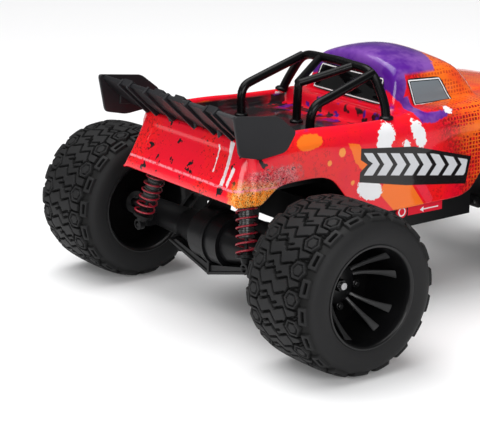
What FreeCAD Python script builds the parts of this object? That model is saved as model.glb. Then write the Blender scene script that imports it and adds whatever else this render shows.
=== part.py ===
import FreeCAD, Part
import math
import os
import re
import Sketcher
from FreeCAD import Vector

# A four-wheeled toy monster truck. Millimetres, +X to the nose, +Y to the left, +Z up.
# The origin is on the ground, midway between the two axles.

os.makedirs("parts", exist_ok=True)
doc = FreeCAD.newDocument("RemoteControlCar")
sheet = doc.addObject("Spreadsheet::Sheet", "Sizes")

sizes = {
    # fits
    "running_gap": 0.06, "free_gap": 0.4, "loose_gap": 1.1, "seat_gap": 0.1,
    # stance
    "wheelbase": 262, "track_width": 275.4, "tyre_radius": 60, "tyre_width": 73.8,
    # wheels
    "lip_radius": 37.5, "barrel_radius": 34, "rim_wall": 1.6, "disc_inset": 38, "disc_thick": 5,
    "window_inner": 14, "window_outer": 30, "tyre_wall": 4, "shoulder_drop": 3,
    "shaft_radius": 2.5, "hex_radius": 6.9, "hex_long": 6, "nut_radius": 4.6, "nut_long": 5,
    # rear axle
    "gear_module": 1, "spur_teeth": 32, "pinion_teeth": 16, "gear_face": 7, "gear_offset": 5.5,
    "tooth_backlash": 0.12, "case_wall": 2, "case_half": 18, "case_play": 1, "seam_rise": 1.6,
    "cone_start": 16.5, "seam_half": 3,
    "cone_end": 45, "tube_radius": 11.5, "tube_end": 98,
    "motor_radius": 12.5, "motor_long": 28, "motor_shaft": 1.6,
    "brace_span": 52, "brace_top": 47, "brace_apex": 33, "brace_thick": 2.4, "brace_wide": 16,
    # trailing links
    "link_front": 55, "link_rear": 112, "lower_link_high": 74, "upper_link_high": 98,
    "lower_link_side": 58.5, "upper_link_side": 12, "link_half": 3.5, "link_width": 7, "ear_thick": 3.2,
    "pin_radius": 1.5,
    # rear dampers
    "rear_eye_back": 160, "rear_eye_side": 69, "rear_eye_high": 59,
    "rear_top_back": 146, "rear_top_side": 50, "rear_top_high": 125,
    "eye_radius": 4.4, "eye_half": 2.5, "damper_radius": 5.2, "damper_long": 34, "rod_radius": 1.4,
    "rod_hidden": 16, "seat_radius": 8.2, "seat_thick": 2, "seat_back": 7,
    "coil_radius": 7, "coil_wire": 0.7, "coil_turns": 7,
    # front suspension
    "arm_inner": 24, "arm_outer": 84, "lower_arm_high": 54, "upper_arm_high": 82, "barrel_half": 3.6,
    "arm_back": 108.4, "arm_front": 137.6, "arm_thick": 5, "upper_half": 4,
    "king_side": 95, "king_radius": 2, "hub_half": 6, "web_out": 90.3, "hub_ear_out": 101,
    "knuckle_radius": 4,
    "front_eye_line": 114, "front_eye_side": 62, "front_eye_high": 62, "front_top_side": 44,
    "front_top_high": 120,
    # steering
    "steer_line": 149, "rod_inner": 35, "rack_high": 73, "rack_half": 3, "horn_line": 162,
    "horn_thick": 2.4,
    "servo_long": 20, "servo_half": 20, "servo_low": 83, "servo_tall": 28, "servo_back": 155,
    # chassis
    "tub_back": 77, "tub_front": 55, "tub_half": 70, "tub_low": 64, "tub_floor": 2, "tub_wall": 2.4,
    "tub_top": 88,
    "bulkhead_back": 50, "bulkhead_thick": 8, "bulkhead_top": 112,
    "beam_half": 17, "beam_low": 50, "beam_top": 66, "beam_end": 180,
    "block_back": 104, "block_front": 142, "block_top": 92, "ear_out": 29,
    "rail_in": 30, "rail_out": 38, "rail_low": 102, "rail_top": 110,
    "rear_tower_front": 134, "tower_thick": 4, "rear_tower_top": 131, "tower_half": 62,
    "front_tower_back": 100, "front_tower_top": 127, "front_tower_half": 52,
    "post_side": 25,
    "battery_back": 30, "battery_front": 46, "battery_half": 24, "battery_tall": 22,
    "door_edge": 5, "door_thick": 2, "screw_radius": 1.5, "screw_head": 2.8, "screw_head_thick": 1.4,
    "receiver_half": 14, "receiver_tall": 14, "receiver_long": 34,
    "button_back": 16, "button_high": 77, "button_radius": 5, "button_proud": 1.3, "button_deep": 6,
    "bumper_front": 190, "bumper_half": 56, "bumper_low": 47, "bumper_tall": 20,
    # body shell
    "skin": 1.8, "lip_back": 172, "lip_high": 107, "crease_back": 170, "crease_high": 116.5,
    "gate_top_back": 157, "gate_top_high": 148, "rail_high": 151, "shoulder_high": 152, "nose_top": 139,
    "nose_front": 180, "nose_low": 104, "tail_step_back": 150, "rear_arch_back": 136,
    "rear_arch_high": 117.5,
    "rear_arch_mid": 90, "rear_arch_front": 68, "sill_back": 58, "sill_high": 81, "front_arch_back": 56,
    "front_arch_rise": 70, "front_arch_high": 128, "front_arch_front": 172,
    "belly_half": 75, "belly_high": 100, "belt_half": 65,
    "bed_back": 148, "bed_front": 18, "bed_half": 57, "bed_floor": 138,
    "hood_half": 40, "hood_rise": 14, "hood_back": 62,
    "cab_back": 16, "cab_base": 148, "cab_base_half": 52, "cab_front": 92, "roof_back": 6, "roof_edge": 183,
    "roof_peak_at": 9, "roof_peak": 191.5, "roof_front": 66, "roof_front_high": 179, "roof_half": 43,
    "side_pane_back": 8, "side_pane_front": 47, "side_pane_low": 151.5, "side_pane_top": 170,
    "side_pane_rake": 11,
    "rear_pane_half": 40, "rear_pane_low": 153, "rear_pane_high": 167, "rear_pane_rake": 5,
    "wind_pane_half": 42, "wind_pane_low": 162, "wind_pane_high": 176, "wind_pane_rake": 4,
    # roll cage
    "cage_tube": 3.4, "cage_collar": 2.4, "hoop_line": 23, "hoop_half": 41.5, "hoop_high": 181,
    "hoop_foot_half": 61.4,
    "stay_back": 82, "stay_half": 44, "stay_high": 162, "mid_back": 60, "mid_high": 169, "vee_half": 20,
    # wing
    "wing_back": 181, "wing_top": 175, "wing_front": 153, "wing_low": 151, "wing_half": 85,
    "wing_thick": 2.2,
    "plate_thick": 2.5, "fin_thick": 2, "fin_rise": 5, "fin_side": 35, "fin_outer": 54, "wing_post": 2.2,
    "wing_post_side": 31, "wing_post_back": 155,
}
for row, (name, value) in enumerate(sizes.items(), 1):
    sheet.set("A%d" % row, name)
    sheet.set("B%d" % row, str(value))
    sheet.setAlias("B%d" % row, name)
doc.recompute()

PLANES = {"X": ("YZ_Plane", 1), "Y": ("XZ_Plane", -1), "Z": ("XY_Plane", 1)}
nodes = []
cuts = []


def bound(text):
    """The expression text, with each size's name pointing at the sheet."""
    return re.sub(r"[a-z][a-z_0-9]*(?![a-z_0-9(])", lambda word: "Sizes." + word.group(0), text)


def size(text):
    """The present value of an expression of sizes."""
    found = sheet.evalExpression(text)
    return float(getattr(found, "Value", found))


def bind(thing, place, text):
    thing.setExpression(place, bound(text))


def keep(thing, label):
    thing.Label = label
    nodes.append(thing)
    return thing


def new_body(label, kept=True):
    body = doc.addObject("PartDesign::Body", "Body_" + label)
    if kept:
        keep(body, label)
    return body


def new_sketch(body, axis, offset):
    """A sketch square to an axis, at an offset along it."""
    role, way = PLANES[axis]
    plane = [part for part in body.Origin.OriginFeatures if part.Role == role][0]
    sketch = body.newObject("Sketcher::SketchObject", "Sketch")
    sketch.AttachmentSupport = (plane, [""])
    sketch.MapMode = "FlatFace"
    bind(sketch, "AttachmentOffset.Base.z", "%d*(%s)" % (way, offset))
    return sketch


def fix_point(sketch, line, end, across, up):
    """Ties one point of the sketch to two expressions, measured from the sketch's origin."""
    for kind, text in (("DistanceX", across), ("DistanceY", up)):
        number = sketch.addConstraint(Sketcher.Constraint(kind, -1, 1, line, end, size(text)))
        bind(sketch, "Constraints[%d]" % number, text)


def outline(sketch, points):
    """A closed outline of straight lines through the points."""
    spots = [Vector(size(across), size(up), 0) for across, up in points]
    count = len(spots)
    first = len(sketch.Geometry)
    for turn in range(count):
        sketch.addGeometry(Part.LineSegment(spots[turn], spots[(turn + 1) % count]))
    for turn in range(count):
        sketch.addConstraint(Sketcher.Constraint("Coincident", first + turn, 2,
                                                 first + (turn + 1) % count, 1))
    for turn, (across, up) in enumerate(points):
        fix_point(sketch, first + turn, 1, across, up)


def circle(sketch, centre, radius):
    across, up = centre
    spot = Vector(size(across), size(up), 0)
    number = sketch.addGeometry(Part.Circle(spot, Vector(0, 0, 1), size(radius)))
    fix_point(sketch, number, 3, across, up)
    rule = sketch.addConstraint(Sketcher.Constraint("Radius", number, size(radius)))
    bind(sketch, "Constraints[%d]" % rule, radius)


def extrude(body, sketch, low, high, cut):
    kind = "PartDesign::Pocket" if cut else "PartDesign::Pad"
    feature = body.newObject(kind, "Cut" if cut else "Fill")
    feature.Profile = sketch
    bind(feature, "Length", "(%s)-(%s)" % (high, low))
    if cut:
        feature.Reversed = True
        cuts.append(feature)
    return feature


def slab(body, axis, points, low, high, cut=False):
    """A straight-sided prism along an axis, from low to high; cut takes it away."""
    start = low if PLANES[axis][1] > 0 else high
    sketch = new_sketch(body, axis, start)
    outline(sketch, points)
    return extrude(body, sketch, low, high, cut)


def rod(body, axis, centre, radius, low, high, cut=False):
    """A round bar along an axis, from low to high; cut bores it."""
    start = low if PLANES[axis][1] > 0 else high
    sketch = new_sketch(body, axis, start)
    circle(sketch, centre, radius)
    return extrude(body, sketch, low, high, cut)


def block(body, x_span, y_span, z_span, cut=False):
    points = [(across, up) for across, up in
              ((x_span[0], y_span[0]), (x_span[1], y_span[0]), (x_span[1], y_span[1]), (x_span[0],
                                                                                        y_span[1]))]
    return slab(body, "Z", points, z_span[0], z_span[1], cut)


def turn(body, points):
    """A solid turned about the Y axis, from (place along the axis, radius) points."""
    sketch = new_sketch(body, "X", "0")
    outline(sketch, points)
    feature = body.newObject("PartDesign::Revolution", "Turned")
    feature.Profile = sketch
    feature.ReferenceAxis = (sketch, ["H_Axis"])
    feature.Angle = 360
    return feature


def place(thing, x="0", y="0", z="0"):
    for axis, text in (("x", x), ("y", y), ("z", z)):
        bind(thing, "Placement.Base." + axis, text)


def combine(kind, base, tool, label=None):
    """A boolean of two objects: Part::Cut, Part::Fuse or Part::Common."""
    result = doc.addObject(kind, kind.split("::")[1])
    result.Base, result.Tool = base, tool
    if label:
        keep(result, label)
    return result


def side_names():
    return (("left", 1), ("right", -1))


def sided(sign, low, high):
    """Low and high ends along Y of a piece mirrored by sign."""
    return ("%s" % low, "%s" % high) if sign > 0 else ("-(%s)" % high, "-(%s)" % low)


# ------------------------------------------------------------------ wheels
wheel_mid = "track_width/2"
disc_out = "(track_width/2+tyre_width/2-disc_inset)"


def add_rim(label, sign, axle):
    """A deep rim: barrel with lips, a disc with five openings, and a bored hub."""
    half = "tyre_width/2"
    mid = "%d*(%s)" % (sign, wheel_mid)
    out = "%d*(%s-disc_inset)" % (sign, half)
    inn = "%d*(%s-disc_inset-disc_thick)" % (sign, half)
    body = new_body(label)
    low, high = "-(%s)+1" % half, "%s-1" % half
    turn(body, [(low, "barrel_radius-rim_wall"), (high, "barrel_radius-rim_wall"), (high, "lip_radius"),
                ("%s-rim_wall" % high, "lip_radius"), ("%s-rim_wall" % high, "barrel_radius"),
                ("%s+rim_wall" % low, "barrel_radius"), ("%s+rim_wall" % low, "lip_radius"), (low,
                                                                                              "lip_radius")])
    turn(body, [(inn, "shaft_radius+seat_gap"), (out, "shaft_radius+seat_gap"), (out,
                                                                                 "barrel_radius-rim_wall/2"),
                (inn, "barrel_radius-rim_wall/2")])
    first, last = (inn, out) if sign > 0 else (out, inn)
    window = slab(body, "Y", [("-2.5", "window_inner"), ("2.5", "window_inner"), ("8", "window_outer"),
                              ("-8", "window_outer")], first, last, cut=True)
    doc.recompute()
    ring = body.newObject("PartDesign::PolarPattern", "FiveOpenings")
    ring.Originals = [window]
    ring.Axis = ([part for part in body.Origin.OriginFeatures if part.Role == "Y_Axis"][0], [""])
    ring.Angle = 360
    ring.Occurrences = 5
    body.Tip = ring
    place(body, axle, mid, "tyre_radius")


def add_tyre(label, sign, axle):
    """A hollow tyre whose beads sit on the rim's barrel between its lips."""
    half = "tyre_width/2"
    bead = "barrel_radius+seat_gap"
    body = new_body(label)
    edge = "(%s-1-rim_wall-seat_gap)" % half
    turn(body, [("-%s" % edge, bead), ("-%s+tyre_wall" % edge, bead), ("-%s+tyre_wall" % edge,
                                                                       "tyre_radius-10"),
                ("-%s+10" % edge, "tyre_radius-tyre_wall"), ("%s-10" % edge, "tyre_radius-tyre_wall"),
                ("%s-tyre_wall" % edge, "tyre_radius-10"), ("%s-tyre_wall" % edge, bead), (edge, bead),
                (edge, "lip_radius+seat_gap"), (half, "lip_radius+seat_gap+1.5"), (half, "tyre_radius-8"),
                ("%s-shoulder_drop" % half, "tyre_radius-shoulder_drop"), ("%s-9" % half, "tyre_radius"),
                ("-%s+9" % half, "tyre_radius"), ("-%s+shoulder_drop" % half, "tyre_radius-shoulder_drop"),
                ("-%s" % half, "tyre_radius-8"), ("-%s" % half, "lip_radius+seat_gap+1.5"),
                ("-%s" % edge, "lip_radius+seat_gap")])
    place(body, axle, "%d*(%s)" % (sign, wheel_mid), "tyre_radius")


def hexagon(body, axis_place, radius, low, high, bore):
    """A hexagon along Y with a round bore."""
    corners = [("%s+(%s)*%.6f" % (axis_place[0], radius, math.cos(math.pi * step / 3)),
                "%s+(%s)*%.6f" % (axis_place[1], radius,
                                  math.sin(math.pi * step / 3))) for step in range(6)]
    slab(body, "Y", corners, low, high)
    if bore:
        rod(body, "Y", axis_place, bore, low, high, cut=True)


def add_nuts(label, signs, axle):
    """Wheel nuts against the outer face of each rim's hub."""
    body = new_body(label)
    for sign in signs:
        low, high = sided(sign, disc_out + "+seat_gap", disc_out + "+seat_gap+nut_long")
        hexagon(body, (axle, "tyre_radius"), "nut_radius", low, high, "shaft_radius+seat_gap")


rear_axle = "-wheelbase/2"
front_axle = "wheelbase/2"
for side, sign in side_names():
    add_rim("rear_%s_rim" % side, sign, rear_axle)
    add_tyre("rear_%s_tyre" % side, sign, rear_axle)
    add_rim("front_%s_rim" % side, sign, front_axle)
    add_tyre("front_%s_tyre" % side, sign, front_axle)
    add_nuts("front_%s_wheel_nut" % side, (sign,), front_axle)
add_nuts("rear_wheel_nuts", (1, -1), rear_axle)

# ------------------------------------------------------------------ rear axle
spur_pitch = "gear_module*spur_teeth/2"
pinion_pitch = "gear_module*pinion_teeth/2"
gear_span = "(%s+%s)" % (spur_pitch, pinion_pitch)
pinion_at = "(%s+%s)" % (rear_axle, gear_span)
shaft_tip = "(%s+nut_long+1.5)" % disc_out
hub_back = "(%s-disc_thick-seat_gap)" % disc_out

shaft = new_body("axle_shaft")
rod(shaft, "Y", (rear_axle, "tyre_radius"), "shaft_radius", "-(%s)" % shaft_tip, shaft_tip)
for side, sign in side_names():
    low, high = sided(sign, hub_back + "-hex_long", hub_back)
    hexagon(shaft, (rear_axle, "tyre_radius"), "hex_radius", low, high, None)


def gear_shape(teeth, pitch, bore, half_tooth):
    """A straight-toothed gear along Y: trapezoid teeth on the root circle, with a bore."""
    module = size("gear_module")
    outer, root = pitch + module, pitch - 1.25 * module
    share = math.pi / teeth
    width = half_tooth * share
    points = []
    for tooth in range(teeth):
        mid = 2 * share * tooth
        for angle, radius in ((mid - 0.75 * width, root), (mid - 0.28 * width, outer),
                              (mid + 0.28 * width, outer),
                              (mid + 0.75 * width, root)):
            points.append(Vector(radius * math.cos(angle), 0, radius * math.sin(angle)))
    face = Part.Face(Part.makePolygon(points + points[:1]))
    solid = face.extrude(Vector(0, size("gear_face"), 0))
    return solid.cut(Part.makeCylinder(bore, size("gear_face"), Vector(0, 0, 0), Vector(0, 1, 0)))


def add_gear(label, teeth_name, pitch, bore, centre_x, turned):
    gear = keep(doc.addObject("Part::Feature", "Gear"), label)
    slack = 1 - size("tooth_backlash")
    gear.Shape = gear_shape(int(size(teeth_name)), size(pitch), size(bore), slack)
    gear.Placement = FreeCAD.Placement(
        Vector(size(centre_x), -size("gear_offset+gear_face/2"), size("tyre_radius")),
        FreeCAD.Rotation(Vector(0, 1, 0), turned))


add_gear("spur_gear", "spur_teeth", spur_pitch, "shaft_radius+seat_gap", rear_axle, 0)
add_gear("motor_pinion", "pinion_teeth", pinion_pitch, "motor_shaft+running_gap", pinion_at,
         180 + 180 / size("pinion_teeth"))

case_radius = "(%s+gear_module+case_play+case_wall)" % spur_pitch
nose_radius = "(%s+gear_module+case_play+case_wall)" % pinion_pitch
for side, sign in side_names():
    housing = new_body("axle_housing_" + side)
    low, high = sided(sign, "0.05", "case_half")
    # gear case: a drum round the spur gear, a nose round the pinion, and the web between them
    rod(housing, "Y", (rear_axle, "tyre_radius"), case_radius, low, high)
    rod(housing, "Y", (pinion_at, "tyre_radius"), nose_radius, low, high)
    slab(housing, "Y", [(rear_axle, "tyre_radius-%s" % case_radius), (pinion_at,
                                                                      "tyre_radius-%s" % nose_radius),
                        (pinion_at, "tyre_radius+%s" % nose_radius), (rear_axle,
                                                                      "tyre_radius+%s" % case_radius)],
         low, high)
    # the seam flange round the drum, and the tapered axle tube
    seam_low, seam_high = sided(sign, "0.05", "seam_half")
    rod(housing, "Y", (rear_axle, "tyre_radius"), case_radius + "+seam_rise", seam_low, seam_high)
    cone = new_body("cone", kept=False)
    turn(cone, [("%d*(case_half-1)" % sign, "0"), ("%d*(case_half-1)" % sign, "cone_start"),
                ("%d*cone_end" % sign, "tube_radius"), ("%d*tube_end" % sign, "tube_radius-1.5"),
                ("%d*tube_end" % sign, "0")])
    place(cone, rear_axle, "0", "tyre_radius")
    # lower link ears and the damper lug
    for inner in (True, False):
        gap = "(link_width/2+free_gap)"
        near = "lower_link_side-%s-ear_thick" % gap if inner else "lower_link_side+%s" % gap
        ear_low, ear_high = sided(sign, near, near + "+ear_thick")
        slab(housing, "Y", [("-wheelbase/2", "tyre_radius+3"), ("-wheelbase/2+4", "tyre_radius-8"),
                            ("-link_rear+link_half", "lower_link_high-link_half"),
                            ("-link_rear+link_half", "lower_link_high+link_half"),
                            ("-link_rear-link_half", "lower_link_high+link_half")], ear_low, ear_high)
    lug_low, lug_high = sided(sign, "rear_eye_side+4.5", "rear_eye_side+13")
    block(housing, ("-rear_eye_back+10", "-wheelbase/2-6"), (lug_low, lug_high),
          ("rear_eye_high-5", "rear_eye_high+4.5"))
    # upper link ear on top of the case
    ear_low, ear_high = sided(sign, "upper_link_side+link_width/2+free_gap",
                              "upper_link_side+link_width/2+free_gap+ear_thick")
    slab(housing, "Y", [("-wheelbase/2-4", "tyre_radius+case_half"), ("-wheelbase/2+18", "tyre_radius+8"),
                        ("-link_rear+link_half", "upper_link_high"),
                        ("-link_rear+link_half", "upper_link_high+link_half"),
                        ("-link_rear-link_half", "upper_link_high+link_half")], ear_low, ear_high)
    pin_low, pin_high = sided(sign, "upper_link_side-link_width/2-1",
                              "upper_link_side+link_width/2+free_gap+ear_thick")
    rod(housing, "Y", ("-link_rear", "upper_link_high"), "pin_radius", pin_low, pin_high)
    pin_low, pin_high = sided(sign, "lower_link_side-link_width/2-free_gap-ear_thick",
                              "lower_link_side+link_width/2+free_gap+ear_thick")
    rod(housing, "Y", ("-link_rear", "lower_link_high"), "pin_radius", pin_low, pin_high)
    # the hollow inside: room for the gears, the shaft's bore, and the motor's boss
    hollow = new_body("hollow", kept=False)
    far_low, far_high = sided(sign, "0", "case_half-case_wall")
    for centre, radius in ((rear_axle, case_radius), (pinion_at, nose_radius)):
        rod(hollow, "Y", (centre, "tyre_radius"), radius + "-case_wall", far_low, far_high)
    bore_low, bore_high = sided(sign, "0", "tube_end+1")
    rod(hollow, "Y", (rear_axle, "tyre_radius"), "shaft_radius+running_gap", bore_low, bore_high)
    if sign < 0:
        rod(hollow, "Y", (pinion_at, "tyre_radius"), "motor_radius*0.45+seat_gap", "-case_half-1",
            "-case_half+4")
        rod(hollow, "Y", (pinion_at, "tyre_radius"), "motor_radius+seat_gap", "-(case_half+motor_long+1)",
            "-case_half")
    solid = combine("Part::Fuse", housing, cone)
    nodes.remove(housing)
    housing.Label = "housing_outside_" + side
    combine("Part::Cut", solid, hollow, "axle_housing_" + side)

motor = new_body("drive_motor")
rod(motor, "Y", (pinion_at, "tyre_radius"), "motor_radius", "-(case_half+seat_gap+motor_long)",
    "-(case_half+seat_gap)")
rod(motor, "Y", (pinion_at, "tyre_radius"), "motor_radius*0.45", "-(case_half+2)",
    "-(case_half-case_wall+0.3)")
rod(motor, "Y", (pinion_at, "tyre_radius"), "motor_shaft", "-(case_half+2)", "-(gear_offset-gear_face/2-1)")
rod(motor, "Y", (pinion_at, "tyre_radius"), "motor_radius*0.35", "-(case_half+motor_long+3)",
    "-(case_half+motor_long-1)")

brace = new_body("skid_brace")
brace_back = "(-wheelbase/2-brace_wide+2)"
slab(brace, "X", [("-brace_span", "brace_top"), ("0", "brace_apex"), ("brace_span", "brace_top"),
                  ("brace_span", "brace_top+brace_thick"), ("0", "brace_apex+brace_thick"),
                  ("-brace_span", "brace_top+brace_thick")], brace_back, brace_back + "+brace_wide")
rod(brace, "Y", (rear_axle, "tyre_radius"), case_radius + "+seat_gap", "-(case_half+seat_gap)",
    "case_half+seat_gap", cut=True)
rod(brace, "Y", (rear_axle, "tyre_radius"), "tube_radius+seat_gap", "-tube_end", "tube_end", cut=True)
case_bottom = "(tyre_radius-%s-seam_rise-seat_gap)" % case_radius
block(brace, (brace_back + "+2", brace_back + "+brace_wide-2"), ("-1.2", "1.2"),
      ("brace_apex+1", case_bottom))

# ------------------------------------------------------------------ trailing links
for label, side_at, high in (("rear_lower_links", "lower_link_side", "lower_link_high"),
                             ("rear_upper_links", "upper_link_side", "upper_link_high")):
    links = new_body(label)
    fit = "pin_radius+running_gap"
    for side, sign in side_names():
        low, high_end = sided(sign, side_at + "-link_width/2", side_at + "+link_width/2")
        for end in ("-link_front", "-link_rear"):
            rod(links, "Y", (end, high), "link_half", low, high_end)
        slab(links, "Y", [("-link_rear", high + "-link_half*0.7"), ("-link_front", high + "-link_half*0.7"),
                          ("-link_front", high + "+link_half*0.7"), ("-link_rear",
                                                                     high + "+link_half*0.7")],
             low, high_end)
        rod(links, "Y", ("-link_front", high), fit, low, high_end, cut=True)
        rear_fit = fit if side_at.startswith("lower") else "pin_radius+free_gap"
        rod(links, "Y", ("-link_rear", high), rear_fit, low, high_end, cut=True)


# ------------------------------------------------------------------ dampers and springs
def spot(point):
    return Vector(*[size(text) for text in point])


def damper_frame(top, foot):
    """Placement whose Z runs from the lower eye to the upper one and whose X is the eyes' pin line."""
    lean = spot(foot) - spot(top)
    yaw = math.degrees(math.atan2(-lean.x, lean.y))
    roll = math.degrees(math.atan2(math.hypot(lean.x, lean.y), -lean.z))
    return FreeCAD.Placement(spot(top), FreeCAD.Rotation(yaw, 0, roll))


def apart(top, foot):
    """The expression for the distance between two points."""
    terms = ["((%s)-(%s))^2" % (one, other) for one, other in zip(top, foot)]
    return "sqrt(%s)" % "+".join(terms)


def add_damper(name, top, foot):
    frame = damper_frame(top, foot)
    gap = apart(top, foot)
    eye = "pin_radius+running_gap"
    upper = new_body(name + "_damper_body")
    rod(upper, "X", ("0", "0"), "eye_radius", "-eye_half", "eye_half")
    rod(upper, "Z", ("0", "0"), "damper_radius", "-damper_long", "-3")
    rod(upper, "Z", ("0", "0"), "seat_radius", "-seat_back-seat_thick", "-seat_back")
    rod(upper, "Z", ("0", "0"), "rod_radius+running_gap", "-damper_long", "-damper_radius-2", cut=True)
    rod(upper, "X", ("0", "0"), eye, "-eye_half", "eye_half", cut=True)
    upper.Placement = frame
    lower = new_body(name + "_damper_rod")
    rod(lower, "X", ("0", "-" + gap), "eye_radius", "-eye_half", "eye_half")
    rod(lower, "Z", ("0", "0"), "rod_radius", "-%s+3" % gap, "-rod_hidden")
    rod(lower, "Z", ("0", "0"), "seat_radius", "-%s+seat_back" % gap, "-%s+seat_back+seat_thick" % gap)
    rod(lower, "X", ("0", "-" + gap), "pin_radius+loose_gap", "-eye_half", "eye_half", cut=True)
    lower.Placement = frame
    spring = keep(doc.addObject("Part::Feature", "Spring"), name + "_spring")
    low = size("-%s+seat_back+seat_thick+coil_wire+seat_gap" % gap)
    high = size("-seat_back-seat_thick-coil_wire-seat_gap")
    tall = high - low
    radius = size("coil_radius")
    pitch = tall / size("coil_turns")
    helix = Part.Wire(Part.makeLongHelix(pitch, tall, radius).Edges)
    ring = Part.makeCircle(size("coil_wire"), Vector(radius, 0, 0), Vector(0, 2 * math.pi * radius, pitch))
    spring.Shape = helix.makePipeShell([Part.Wire([ring])], True, True)
    spring.Placement = frame.multiply(FreeCAD.Placement(Vector(0, 0, low), FreeCAD.Rotation()))


def bar_between(first, last, radius):
    """A round bar from one point to the other."""
    bar = doc.addObject("Part::Cylinder", "Bar")
    bind(bar, "Radius", radius)
    bar.Height = (last - first).Length
    bar.Placement = FreeCAD.Placement(first, FreeCAD.Rotation(Vector(0, 0, 1), last - first))
    return bar


def fused(label, parts):
    whole = doc.addObject("Part::MultiFuse", "Joined")
    whole.Shapes = parts
    return keep(whole, label)


def pin_line(top, foot, sign):
    """The level direction of a rear damper's pins, pointing forward and outward."""
    lean = spot(foot) - spot(top)
    return Vector(abs(lean.y), -lean.x * sign, 0).normalize()


tower = new_body("rear_tower_plate", kept=False)
slab(tower, "X", [("-rail_out", "rail_low-2"), ("rail_out", "rail_low-2"), ("tower_half",
                                                                            "rear_tower_top-14"),
                  ("tower_half", "rear_tower_top"), ("-tower_half", "rear_tower_top"),
                  ("-tower_half", "rear_tower_top-14")],
     "-rear_tower_front-tower_thick", "-rear_tower_front")
tower_parts = [tower]
for side, sign in side_names():
    top = ("-rear_top_back", "%d*rear_top_side" % sign, "rear_top_high")
    foot = ("-rear_eye_back", "%d*rear_eye_side" % sign, "rear_eye_high")
    add_damper("rear_" + side, top, foot)
    along = pin_line(top, foot, sign)
    reach = (size("rear_top_back-rear_tower_front-tower_thick/2")) / along.x
    past = size("eye_half+1")
    tower_parts.append(bar_between(spot(top) - along * past, spot(top) + along * reach, "pin_radius"))
    housing = [node for node in nodes if node.Label == "axle_housing_" + side][0]
    pin = bar_between(spot(foot) - along * past, spot(foot) + along * size("rear_eye_side*0.2"),
                      "pin_radius")
    nodes.remove(housing)
    housing.Label = "housing_" + side
    combine("Part::Fuse", housing, pin, "axle_housing_" + side)
    top = ("front_eye_line", "%d*front_top_side" % sign, "front_top_high")
    foot = ("front_eye_line", "%d*front_eye_side" % sign, "front_eye_high")
    add_damper("front_" + side, top, foot)
fused("rear_damper_tower", tower_parts)

front_tower = new_body("front_damper_tower")
slab(front_tower, "X", [("-beam_half", "beam_top"), ("beam_half", "beam_top"), ("beam_half+6", "block_top"),
                        ("front_tower_half", "front_tower_top-12"), ("front_tower_half", "front_tower_top"),
                        ("-front_tower_half", "front_tower_top"), ("-front_tower_half",
                                                                   "front_tower_top-12"),
                        ("-beam_half-6", "block_top")],
     "front_tower_back-0.5", "front_tower_back+tower_thick-0.5-seat_gap")
for side, sign in side_names():
    rod(front_tower, "X", ("%d*front_top_side" % sign, "front_top_high"), "pin_radius",
        "front_tower_back+1",
        "front_eye_line+eye_half+1")

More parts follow.
